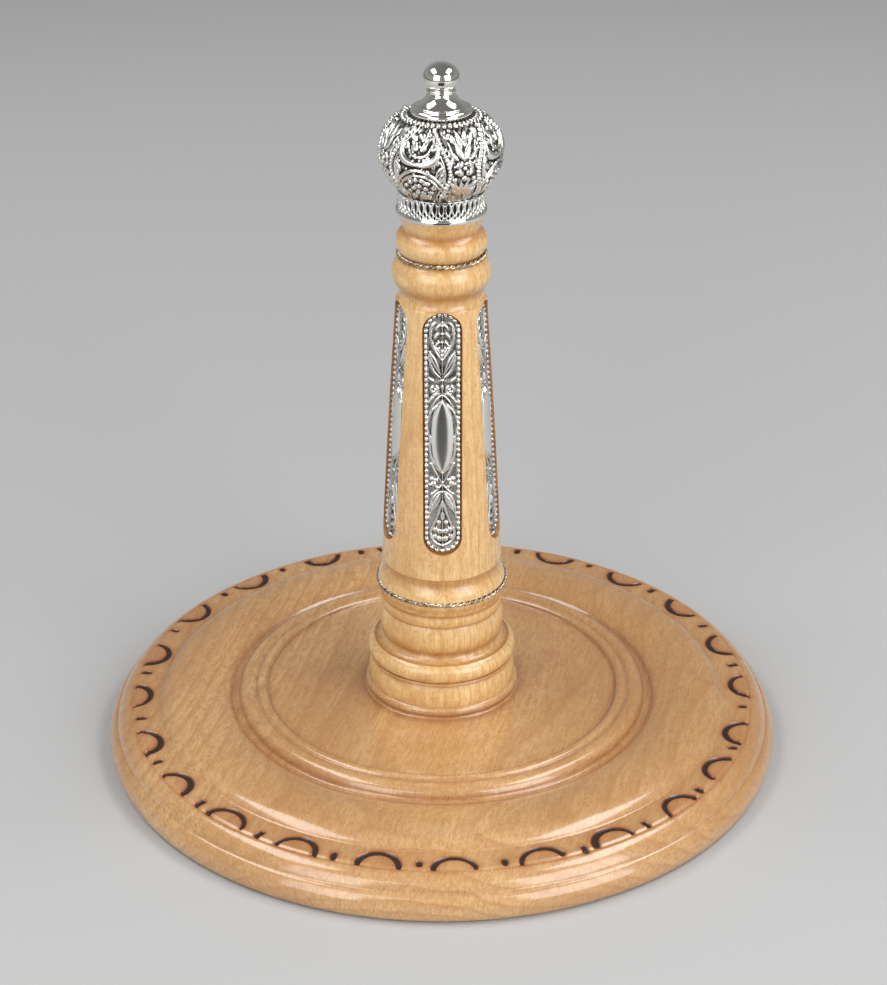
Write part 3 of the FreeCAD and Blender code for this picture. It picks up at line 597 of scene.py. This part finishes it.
# ---- relief in stamped silver --------------------------------------------------------------------
class Relief:
    """Raised shapes on a flat or rolled-out sheet: u across and v along, both in millimetres."""

    def __init__(self, u, v):
        self.u, self.v = u, v
        self.height = np.zeros_like(u)

    def raise_to(self, height):
        np.maximum(self.height, height, out=self.height)

    def pillow(self, u, v, half_u, half_v, top, turn=0.0, edge=0.5):
        cos, sin = math.cos(math.radians(turn)), math.sin(math.radians(turn))
        du, dv = self.u - u, self.v - v
        a = (du * cos + dv * sin) / half_u
        b = (dv * cos - du * sin) / half_v
        self.raise_to(top * np.clip(1 - a * a - b * b, 0, None) ** edge)

    def leaf(self, u, v, half, length, top, turn=0.0, rib=0.3):
        """A pointed leaf from its foot at (u, v), with a groove down the middle; turn 0 points to +v."""
        cos, sin = math.cos(math.radians(turn)), math.sin(math.radians(turn))
        du, dv = self.u - u, self.v - v
        along = (dv * cos + du * sin) / length
        across = np.abs(du * cos - dv * sin)
        wide = half * np.sin(np.pi * np.clip(along, 0, 1) ** 0.8)
        share = across / np.maximum(wide, 1e-6)
        body = np.clip(1 - share ** 2, 0, None) ** 0.5
        groove = 1 - rib * np.exp(-(across / (0.16 * half)) ** 2)
        self.raise_to(np.where((along > 0) & (along < 1), top * body * groove, 0))

    def strand(self, path, half, top, taper=0.0, edge=0.5):
        """A raised line along a path of (u, v) points, thinner at its ends by the share taper."""
        path = np.array(path, dtype=float)
        legs = len(path) - 1
        nearest = np.full_like(self.u, FAR_OFF)
        where = np.zeros_like(self.u)
        for n in range(legs):
            a, b = path[n], path[n + 1]
            run = b - a
            share = ((self.u - a[0]) * run[0] + (self.v - a[1]) * run[1]) / (run @ run)
            share = np.clip(share, 0, 1)
            gap = np.hypot(self.u - a[0] - share * run[0], self.v - a[1] - share * run[1])
            better = gap < nearest
            nearest[better] = gap[better]
            where[better] = ((n + share) / legs)[better]
        wide = half * (1 - taper * np.abs(2 * where - 1) ** 1.6)
        self.raise_to(top * np.clip(1 - (nearest / wide) ** 2, 0, None) ** edge)


def crevices(height, columns):
    """1 in low ground close to raised shapes, and less in open ground; 0 on top."""
    grid = height.reshape(-1, columns)
    soft = grid.copy()
    for _ in range(7):
        soft = (soft + np.roll(soft, 1, 1) + np.roll(soft, -1, 1)) / 3
        up, down = np.vstack([soft[:1], soft[:-1]]), np.vstack([soft[1:], soft[-1:]])
        soft = (soft + up + down) / 3
    drop = np.clip((soft - grid) / 0.22, 0, 1)
    low = np.clip(1 - grid / 0.35, 0, 1)
    return (low * (0.42 + 0.58 * drop)).ravel()


def bow(start, pull, end, count=9):
    """Points on a quadratic curve."""
    t = np.linspace(0, 1, count)[:, None]
    start, pull, end = (np.array(p, dtype=float) for p in (start, pull, end))
    return (1 - t) ** 2 * start + 2 * t * (1 - t) * pull + t ** 2 * end


def curl(u, v, start_r, end_r, start, sweep, count=22):
    """Points on a spiral round (u, v); angles in degrees."""
    t = np.linspace(0, 1, count)
    r = start_r + (end_r - start_r) * t
    a = np.radians(start + sweep * t)
    return np.stack([u + r * np.cos(a), v + r * np.sin(a)], axis=1)


SHAFT_BOTTOM = (21.0, 71.6)    # (radius, height) of three points on the shaft's curve
SHAFT_MIDDLE = (18.5, 120.05)
SHAFT_TOP = (15.4, 169.0)
POCKET_LOW = 81.2
POCKET_HIGH = 169.4
POCKET_HALF = 6.7
POCKET_SIDE = 1.15


def pocket_floor(z):
    """Distance of a pocket's flat floor from the axis, from the shaft's gentle curve."""
    hub, size = circle(SHAFT_BOTTOM, SHAFT_MIDDLE, SHAFT_TOP)
    shaft = hub[0] + math.sqrt(size ** 2 - (z - hub[1]) ** 2)
    return math.sqrt(shaft ** 2 - POCKET_HALF ** 2) - POCKET_SIDE


POCKET_FLOOR_LOW = pocket_floor(POCKET_LOW)
POCKET_FLOOR_HIGH = pocket_floor(POCKET_HIGH)
PANEL_COUNT = 5
PANEL_TURN = 1.2
PANEL_WIDTH = 12.6
PANEL_LENGTH = 87.4
PANEL_TOP_Z = 169.0
PATTERN_LENGTH = 85.6      # the pattern is drawn this long and stretched to the panel
PANEL_BACK = 0.05          # glue under the sheet
PANEL_SHEET = 0.38
PANEL_TARNISH = 0.72       # the panels' tarnish as a share of the dome's
PANEL_COLUMNS = 65
PANEL_ROWS = 352
PANEL_END_ROWS = 34
EDGE_BEAD_INSET = 0.78     # distance of the border's beads from the panel's edge
EDGE_BEAD_PITCH = 1.93


def panel_relief(u, v):
    """The stamped pattern; u is across from the middle and v down from the panel's top."""
    made = Relief(u, v)
    half = PANEL_WIDTH / 2
    # beads all round the edge
    track = half - EDGE_BEAD_INSET
    straight = PANEL_LENGTH - 2 * half
    around = 2 * straight + 2 * math.pi * track
    beads = round(around / EDGE_BEAD_PITCH)
    for n in range(beads):
        way = around * n / beads
        if way < math.pi * track:
            a = way / track
            bu, bv, turn = -track * math.cos(a), half - track * math.sin(a), 90 - math.degrees(a)
        elif way < math.pi * track + straight:
            bu, bv, turn = track, half + way - math.pi * track, 0
        elif way < 2 * math.pi * track + straight:
            a = (way - math.pi * track - straight) / track
            bu, bv, turn = track * math.cos(a), half + straight + track * math.sin(a), math.degrees(a)
        else:
            bu, bv, turn = -track, half + straight - (way - 2 * math.pi * track - straight), 0
        made.pillow(bu, bv, 0.70, 0.86, 0.62, turn)
    # from here on v counts along the pattern as it is drawn
    v = v * PATTERN_LENGTH / PANEL_LENGTH
    made.v = v
    # polished oval with blunt ends, and its thin rim
    made.strand(bow((0, 30.6), (-7.4, 36.0), (-4.2, 43.5)), 0.34, 0.42)
    made.strand(bow((0, 30.6), (7.4, 36.0), (4.2, 43.5)), 0.34, 0.42)
    made.strand(bow((-4.2, 43.5), (-5.2, 52.5), (0, 56.4)), 0.40, 0.42)
    made.strand(bow((4.2, 43.5), (5.2, 52.5), (0, 56.4)), 0.40, 0.42)
    oval = np.clip((v - 43.2) / 12.4, -1, 1)
    wide = 3.8 * np.clip(1 - np.abs(oval) ** 2.6, 0, None) ** 0.55
    share = np.abs(u) / np.maximum(wide, 1e-6)
    made.raise_to(np.where(share < 1, 0.15 + 1.0 * np.clip(1 - share ** 2, 0, None) ** 0.62, 0))
    for side in (-1, 1):
        # shell at the top
        made.strand(bow((0, 3.4), (side * 4.3, 2.6), (side * 3.9, 8.2)), 0.42, 0.5)
        made.strand(bow((side * 3.9, 8.2), (side * 3.4, 12.2), (0, 16.6)), 0.42, 0.5, 0.2)
        for level, spread in ((4.9, 2.0), (7.7, 2.5), (10.6, 2.1)):
            end = (side * spread, level + 0.9)
            made.strand(bow((0, level - 0.3), (side * spread * 0.5, level - 1.1), end), 0.52, 0.55, 0.35)
        made.strand([(side * 1.9, 12.1), (0, 15.2)], 0.34, 0.45)
        made.strand([(side * 0.9, 12.2), (0, 13.8)], 0.30, 0.45)
        # V leaves
        made.leaf(side * 4.3, 13.2, 1.0, 9.6, 0.66, turn=-side * 25, rib=0.0)
        made.strand(bow((side * 4.3, 14.0), (side * 4.7, 19.4), (side * 0.4, 22.6)), 0.42, 0.5, 0.5)
        made.strand(bow((side * 0.1, 23.2), (side * 2.4, 24.6), (side * 4.4, 22.6)), 0.5, 0.5, 0.5)
        # scrolls
        made.strand(curl(side * 2.75, 26.7, 1.75, 0.35, 90, side * 500), 0.46, 0.55)
        made.strand(bow((side * 0.2, 28.6), (side * 2.2, 29.6), (side * 4.0, 33.9)), 0.36, 0.55, 0.4)
        made.strand(bow((side * 0.5, 28.0), (side * 3.2, 28.6), (side * 4.6, 31.2)), 0.34, 0.5, 0.5)
        # crossing under the oval, with berries
        made.strand(bow((side * 3.9, 52.8), (side * 1.9, 57.0), (0, 60.2)), 0.40, 0.5, 0.3)
        made.strand(bow((0, 60.2), (-side * 1.6, 62.6), (-side * 3.8, 64.0)), 0.36, 0.5, 0.5)
        for bu, bv, size in ((2.2, 58.9, 0.8), (3.6, 58.4, 0.75), (3.0, 60.3, 0.95), (4.2, 60.4, 0.6),
                             (1.9, 61.4, 0.6)):
            made.pillow(side * bu, bv, size, size, 0.55)
        # lower leaves
        made.leaf(side * 0.3, 63.2, 1.05, 9.4, 0.62, turn=side * 27, rib=0.35)
        made.strand(bow((side * 0.2, 63.0), (side * 4.6, 64.0), (side * 4.5, 72.6)), 0.40, 0.5, 0.4)
        # drop
        made.strand(bow((0, 66.8), (side * 1.9, 73.0), (side * 4.1, 77.6)), 0.42, 0.5)
        made.strand(bow((side * 4.1, 77.6), (side * 4.5, 81.6), (0, 82.9)), 0.42, 0.5)
        for bu, bv, size in ((1.15, 74.4, 0.85), (2.5, 76.9, 0.85), (0.95, 77.6, 0.95), (2.7, 79.5, 0.85),
                             (1.0, 80.4, 0.95)):
            made.pillow(side * bu, bv, size, size * 1.1, 0.6)
    made.pillow(0, 72.0, 0.7, 1.6, 0.5)
    made.pillow(0, 26.3, 0.5, 1.5, 0.5)
    return made


def make_panels(material):
    across = np.linspace(-1, 1, PANEL_COLUMNS)
    half = PANEL_WIDTH / 2
    first, last = 0.06, math.pi / 2    # angles of the rows round each end
    along = np.concatenate([half * (1 - np.cos(np.linspace(first, last, PANEL_END_ROWS))),
                            np.linspace(half, PANEL_LENGTH - half, PANEL_ROWS)[1:-1],
                            PANEL_LENGTH - half * (1 - np.cos(np.linspace(last, first, PANEL_END_ROWS)))])
    from_end = np.clip(np.minimum(along, PANEL_LENGTH - along), 0, half)
    wide = np.sqrt(half ** 2 - (half - from_end) ** 2)
    u = (wide[:, None] * across[None, :]).ravel()
    v = np.repeat(along, len(across))
    made = panel_relief(u, v)
    past_end = np.clip(np.maximum(half - v, v - PANEL_LENGTH + half), 0, None)
    edge = np.minimum(half - np.hypot(u, past_end), 1)
    lift = PANEL_SHEET * np.clip(edge / 0.12, 0, 1) ** 0.5 + made.height * np.clip(edge / 0.1, 0, 1)
    count, width = len(along), len(across)
    n = np.arange((count - 1) * width).reshape(count - 1, width)[:, :-1].ravel()
    faces = np.stack([n, n + width, n + width + 1, n + 1], axis=1).tolist()
    loop = list(range(width)) + [width * k + width - 1 for k in range(1, count)]
    loop += [width * (count - 1) + k for k in range(width - 2, -1, -1)]
    loop += [width * k for k in range(count - 2, 0, -1)]
    faces.append(loop)
    hollow = PANEL_TARNISH * crevices(made.height, width)
    run = POCKET_FLOOR_LOW - POCKET_FLOOR_HIGH
    lean = math.atan2(run, POCKET_HIGH - POCKET_LOW)
    for position in range(PANEL_COUNT):
        out = lift + PANEL_BACK
        up = PANEL_TOP_Z - v - POCKET_LOW
        y = -out * math.cos(lean) + up * math.sin(lean) - POCKET_FLOOR_LOW
        z = POCKET_LOW + up * math.cos(lean) + out * math.sin(lean)
        turn = math.radians(PANEL_TURN + 360.0 / PANEL_COUNT * position)
        x = u * math.cos(turn) - y * math.sin(turn)
        y = u * math.sin(turn) + y * math.cos(turn)
        name = "panel_%d" % (position + 1)
        solid(name + "_relief", np.stack([x, y, z], axis=1), faces, material, "column",
              [name], (("hollow", hollow),))


# ---- crown ---------------------------------------------------------------------------------------
DOME_COLUMNS = 720
DOME_FOOT_Z = 207.65
DOME_TOP_Z = 233.4
FLAT_TOP_Z = 233.2         # above this the dome is flat, under the collar
DOME_SINK = 0.55           # the relief's ground lies this far inside the plain dome
LOBES = 4
LOBE_TURN = -22.5          # degrees from the front to the first wide lobe, towards +X
LOBE_WIDEST_Z = 219.0
PETALS = 42                # they lie flat in a ring round the collar
PETAL_R = 12.0
PETAL_LOW_Z = 232.5


def dome_outline():
    outer = outline((14.8, DOME_FOOT_Z), (16.4, 210.2))
    outer += through((16.4, 210.2), (20.4, 219.6), (16.6, 230.4), 78)
    outer += through((16.6, 230.4), (13.9, 232.7), (10.4, DOME_TOP_Z), 16)
    inner = [(9.6, DOME_TOP_Z), (2.9, DOME_TOP_Z), (2.9, 232.5), (10.1, 232.5), (13.3, 231.8),
             (16.0, 229.8), (18.4, 226.0), (19.5, 219.6), (18.4, 213.6), (15.8, 210.8),
             (13.9, DOME_FOOT_Z)]
    return outer, inner


DOME_OUTER, DOME_INNER = dome_outline()
DOME_Z = np.array([z for r, z in DOME_OUTER])
DOME_RADII = np.array([r for r, z in DOME_OUTER])


def lobe_half(z):
    """Half-width in degrees of a wide lobe at a height: narrow at both ends."""
    share = np.clip((z - LOBE_WIDEST_Z) / np.where(z > LOBE_WIDEST_Z, 13.2, -13.5), 0, 1)
    return np.where(z > LOBE_WIDEST_Z, 31.0 - 17.0 * share ** 1.7, 31.0 - 15.5 * share ** 1.5)


def rib_place(level):
    """Distance round the dome from a lobe's middle to its rib, at a height."""
    radius = float(np.interp(level, DOME_Z, DOME_RADII))
    return math.radians(float(lobe_half(np.array(level)))) * radius


def stamp_lumps(relief, count, reach, longest):
    """Small lumps that fill the open ground, up to reach from the middle line."""
    for _ in range(count):
        across, level = rng.uniform(-reach, reach), rng.uniform(208.6, 232.4)
        size = rng.uniform(0.38, 0.72)
        length = size * rng.uniform(0.6, longest)
        relief.pillow(across, level, size, length, 0.34, rng.uniform(0, 180))


def dome_relief(turn, radius, z):
    """Relief over the dome: turn in degrees from the front towards +X."""
    pitch = 360.0 / LOBES
    local = (turn - LOBE_TURN + pitch / 2) % pitch - pitch / 2
    lobe = Relief(np.radians(local) * radius, z)
    # beaded ribs on both sides of the wide lobes
    for level in np.linspace(208.2, 232.2, 21):
        for side in (-1, 1):
            lobe.pillow(side * rib_place(level), level, 0.80, 0.74, 1.15)
    for side in (-1, 1):
        path = [(side * rib_place(level), level) for level in np.linspace(208.0, 232.4, 20)]
        inside = [(u - side * 1.6, v) for u, v in path]
        lobe.strand(path, 0.5, 0.5)
        lobe.strand(inside, 0.26, 0.5)
        # crescent ending in scrolls, with petals inside
        lobe.strand(bow((0, 222.0), (side * 7.6, 221.8), (side * 6.2, 227.6), 14), 1.45, 1.05, 0.55, 0.8)
        lobe.strand(curl(side * 4.9, 227.4, 1.4, 0.3, 0 if side > 0 else 180, side * 330), 0.42, 0.75)
        lobe.strand(bow((0, 224.4), (side * 3.4, 224.6), (side * 3.7, 227.2)), 0.48, 0.7, 0.5)
        lobe.leaf(side * 0.6, 226.2, 1.0, 3.4, 0.7, turn=side * 38)
        lobe.leaf(side * 1.2, 229.3, 1.0, 3.2, 0.6, turn=side * 62)
        lobe.pillow(side * 1.7, 228.2, 0.85, 0.85, 0.6)
        # arch, with a cluster of petals under it
        lobe.strand(bow((0, 219.9), (side * 5.2, 219.9), (side * 8.8, 213.4), 12), 0.62, 0.75, 0.3)
        lobe.strand(bow((0, 218.2), (side * 4.8, 218.2), (side * 7.4, 212.6), 12), 0.5, 0.6, 0.4)
        for u, v, size in ((1.1, 216.4, 1.0), (3.1, 215.4, 1.0), (4.9, 213.8, 0.95), (0.0, 214.3, 1.0),
                           (2.1, 213.3, 0.95), (3.8, 211.9, 0.85), (1.0, 211.5, 0.9), (2.6, 210.2, 0.8)):
            lobe.pillow(side * u, v, size, size * 0.85, 0.72)
        lobe.leaf(side * 6.4, 218.6, 0.95, 4.2, 0.6, turn=side * 35)
        lobe.leaf(side * 7.6, 216.0, 0.85, 3.6, 0.55, turn=side * 12)
        lobe.strand(bow((side * 8.9, 214.5), (side * 9.6, 219.0), (side * 7.6, 223.4)), 0.4, 0.5, 0.5)
    lobe.pillow(0, 230.6, 1.2, 0.8, 0.6)

    between = (turn - LOBE_TURN) % pitch - pitch / 2
    narrow = Relief(np.radians(between) * radius, z)
    for side in (-1, 1):
        narrow.leaf(side * 0.3, 223.6, 1.15, 6.4, 0.75, turn=side * 24)
        narrow.leaf(side * 1.9, 223.4, 0.8, 5.6, 0.6, turn=side * 46, rib=0.2)
        narrow.pillow(side * 1.75, 219.4, 1.5, 1.15, 0.85, turn=side * 38)
        narrow.pillow(side * 1.75, 222.1, 1.45, 1.05, 0.8, turn=-side * 38)
        narrow.pillow(side * 3.4, 216.8, 0.9, 0.9, 0.6)
        for lean, length in ((8, 6.4), (30, 6.2), (55, 5.2)):
            narrow.leaf(side * 0.4, 210.6, 0.85, length, 0.62, turn=side * lean)
    narrow.pillow(0, 220.8, 0.75, 0.75, 0.95)
    narrow.pillow(0, 217.2, 0.9, 1.0, 0.6)
    for side in (-1, 1):
        narrow.leaf(side * 2.4, 228.6, 1.0, 3.6, 0.6, turn=side * 30)
        narrow.leaf(side * 0.5, 227.6, 1.0, 4.9, 0.7, turn=side * 14)
        narrow.strand(bow((side * 4.6, 222.0), (side * 3.4, 225.6), (side * 4.8, 229.0)), 0.42, 0.5, 0.5)
        narrow.leaf(side * 2.6, 213.4, 0.8, 3.6, 0.55, turn=side * 40)
    stamp_lumps(lobe, 80, 8, 1.3)
    stamp_lumps(narrow, 60, 6, 1.6)
    in_narrow = np.abs(local) > lobe_half(z)
    height = np.where(in_narrow, np.maximum(narrow.height, lobe.height), lobe.height)
    petals = Relief(np.radians(turn) * PETAL_R, radius)
    for n in range(PETALS):
        petals.pillow(2 * math.pi * PETAL_R / PETALS * (n + 0.5), 12.3, 0.72, 1.5, 0.7)
    on_top = np.clip((z - PETAL_LOW_Z) / 0.25, 0, 1)
    return height * (1 - on_top) + petals.height * on_top


def lathe_points(rows, columns):
    turn = np.arange(columns) * (360.0 / columns)
    r = np.repeat([p[0] for p in rows], columns)
    z = np.repeat([p[1] for p in rows], columns)
    return np.tile(turn, len(rows)), r, z


def place_round(turn, r, z):
    a = np.radians(turn)
    return np.stack([r * np.sin(a), -r * np.cos(a), z], axis=1)


def make_dome(material):
    rows = DOME_OUTER + DOME_INNER
    turn, r, z = lathe_points(rows, DOME_COLUMNS)
    outer = np.arange(len(r)) < len(DOME_OUTER) * DOME_COLUMNS
    height = np.where(outer, dome_relief(turn, r, z), 0)
    steps = np.gradient(DOME_RADII), np.gradient(DOME_Z)
    size = np.hypot(*steps)
    out_r = np.concatenate([steps[1] / size, np.zeros(len(DOME_INNER))]).repeat(DOME_COLUMNS)
    out_z = np.concatenate([-steps[0] / size, np.zeros(len(DOME_INNER))]).repeat(DOME_COLUMNS)
    lift = np.where(outer, height - DOME_SINK, 0)
    lift = np.where((z > FLAT_TOP_Z) & outer, np.minimum(lift, 0), lift)
    points = place_round(turn, r + out_r * lift, np.minimum(z + out_z * lift, DOME_TOP_Z))
    faces = closed_faces(len(rows), DOME_COLUMNS)
    hollow = np.where(outer, crevices(height, DOME_COLUMNS), 0.6)
    solid("crown_dome_relief", points, faces, material, "column", ["crown_dome"],
          (("hollow", hollow),))


GALLERY_ARCHES = 40
GALLERY_COLUMNS = 14 * GALLERY_ARCHES
GALLERY_R = 14.6
GALLERY_IN_R = 13.5
GALLERY_LOW_Z = 199.55
GALLERY_TOP_Z = 207.6
WINDOW_DEPTH = 0.95


def make_gallery(material):
    """The band under the dome: its windows are hollows nearly as deep as the band is thick.

    They are painted dark: painted shade, as seen through the real band's piercings.
    """
    outer = [(GALLERY_R, z) for z in np.linspace(GALLERY_LOW_Z, GALLERY_TOP_Z, 58)]
    inner = [(GALLERY_IN_R, GALLERY_TOP_Z), (GALLERY_IN_R, GALLERY_LOW_Z)]
    turn, r, z = lathe_points(outer + inner, GALLERY_COLUMNS)
    pitch = 2 * math.pi * GALLERY_R / GALLERY_ARCHES
    u = np.radians(turn) * GALLERY_R
    on_arch = (u + pitch / 2) % pitch - pitch / 2
    between = u % pitch - pitch / 2

    def almond(across, level, half_u, half_z, sharp=0.75):
        up = np.abs(z - level) / half_z
        wide = half_u * np.clip(1 - up ** 1.6, 0, None) ** sharp
        return np.clip((wide - np.abs(across)) / 0.14, 0, 1) * (up < 1)

    holes = np.maximum.reduce([
        almond(on_arch, 205.1, 0.68, 1.95), almond(between, 203.1, 0.48, 0.85),
        almond(on_arch, 202.2, 0.42, 0.62), almond(between, 206.9, 0.34, 0.55)])
    front = np.arange(len(r)) < len(outer) * GALLERY_COLUMNS
    holes = np.where(front, holes, 0)
    rounded = 0.10 * np.abs(on_arch) / (pitch / 2)
    carved_r = r - np.where(front, holes * WINDOW_DEPTH + np.where(z > 201.8, rounded, 0), 0)
    faces = closed_faces(len(outer) + len(inner), GALLERY_COLUMNS)
    # the windows' "hollow" of up to 1.1 paints them full dark: painted shade in the piercings
    solid("crown_gallery_pierced", place_round(turn, carved_r, z), faces, material, "column",
          ["crown_gallery"], (("hollow", holes * 1.1),))


def make_wire(name, node, radius, z, twists, half, material):
    """Two strands twisted round each other, laid in a ring; half is the pair's half-width."""
    steps = 32                 # points along a strand in one twist
    sides = 12
    count = twists * steps
    strand_r = half * 0.56     # a little over half, so that the strands press into each other
    points, faces = [], []
    for strand in range(2):
        step = np.arange(count)
        wind = 2 * math.pi * step / steps + math.pi * strand
        turn = 2 * math.pi * step / count
        mid_r = radius + (half - strand_r) * np.cos(wind)
        mid_z = z + (half - strand_r) * np.sin(wind)
        start = len(points) * count * sides
        ring = 2 * math.pi * np.arange(sides) / sides
        r = (mid_r[:, None] + strand_r * np.cos(ring)).ravel()
        strand_z = (mid_z[:, None] + strand_r * np.sin(ring)).ravel()
        a = np.repeat(turn, sides)
        points.append(np.stack([r * np.sin(a), -r * np.cos(a), strand_z], axis=1))
        n = np.arange(count * sides)
        row, k = n // sides, n % sides
        nxt = (row + 1) % count * sides
        faces += (start + np.stack([row * sides + k, nxt + k, nxt + (k + 1) % sides,
                                    row * sides + (k + 1) % sides], axis=1)).tolist()
    solid(name, np.concatenate(points), faces, material, "column", [node])


# ---- put it together -----------------------------------------------------------------------------
def dress(node, material):
    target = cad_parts[node]
    for place in target.material_slots:
        place.material = material


make_camera()
make_floor()
make_light()
dark_card()

# flat-sawn board: the pith runs roughly front to back, 95 mm under the table's surface
base_wood = beech("base_wood", pith=(0.018, 0.0, -0.095),
                  grain_turn=(math.radians(-88), 0, math.radians(-14)),
                  light=linear(223, 181, 125), dark=linear(178, 124, 70), fleck=linear(112, 66, 32),
                  # cove_shade: colour of the painted shade in the base's coves, with lacquer pooled there
                  ring_pitch=0.0042, cove_shade=(0.62, 0.42, 0.28), cove_reach=0.010, cove_low=0.40,
                  gloss=1.0, coat_rough=0.13, burnt=True)
column_wood = beech("column_wood", pith=(0.030, 0.045, 0.0), grain_turn=(0, math.radians(1.2), 0),
                    light=linear(246, 212, 152), dark=linear(200, 147, 82), fleck=linear(150, 94, 46),
                    # cove_shade: colour of the painted shade in the column's coves, with lacquer pooled
                    # there
                    ring_pitch=0.0030, cove_shade=(0.58, 0.38, 0.18), cove_reach=0.014, cove_low=0.60,
                    gloss=0.85, coat_rough=0.20,
                    # shade_bands: (height, half-width, strength) of the column's coves given extra
                    # painted shade
                    shade_bands=((32.3, 1.1, 0.6), (42.0, 3.2, 0.85), (52.6, 1.0, 0.7), (57.2, 1.2, 0.8),
                           (60.2, 2.4, 0.55), (69.4, 3.4, 0.7), (174.0, 4.2, 0.75),
                           (185.2, 2.4, 0.5), (194.0, 3.2, 0.75)))
silver = stamped_silver()
mirror = polished_silver()
twist = twisted_silver()
steel = plated_steel()
brass = plain_brass()
felt = brown_felt()

make_base(base_wood)
make_panels(silver)
make_dome(silver)
make_gallery(silver)
make_wire("upper_wire_twist", "upper_wire_ring", 14.5, 185.2, 19, 0.85, twist)
make_wire("lower_wire_twist", "lower_wire_ring", 22.5, 62.7, 30, 0.85, twist)
dress("column", column_wood)
for node in ("crown_rim", "knob_collar", "finial_knob"):
    dress(node, mirror)
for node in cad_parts:
    if node.startswith("foot_pad"):
        dress(node, felt)
for node in ("base_bolt", "bolt_washer", "finial_stud"):
    dress(node, steel)
for node in ("column_insert", "stud_insert"):
    dress(node, brass)
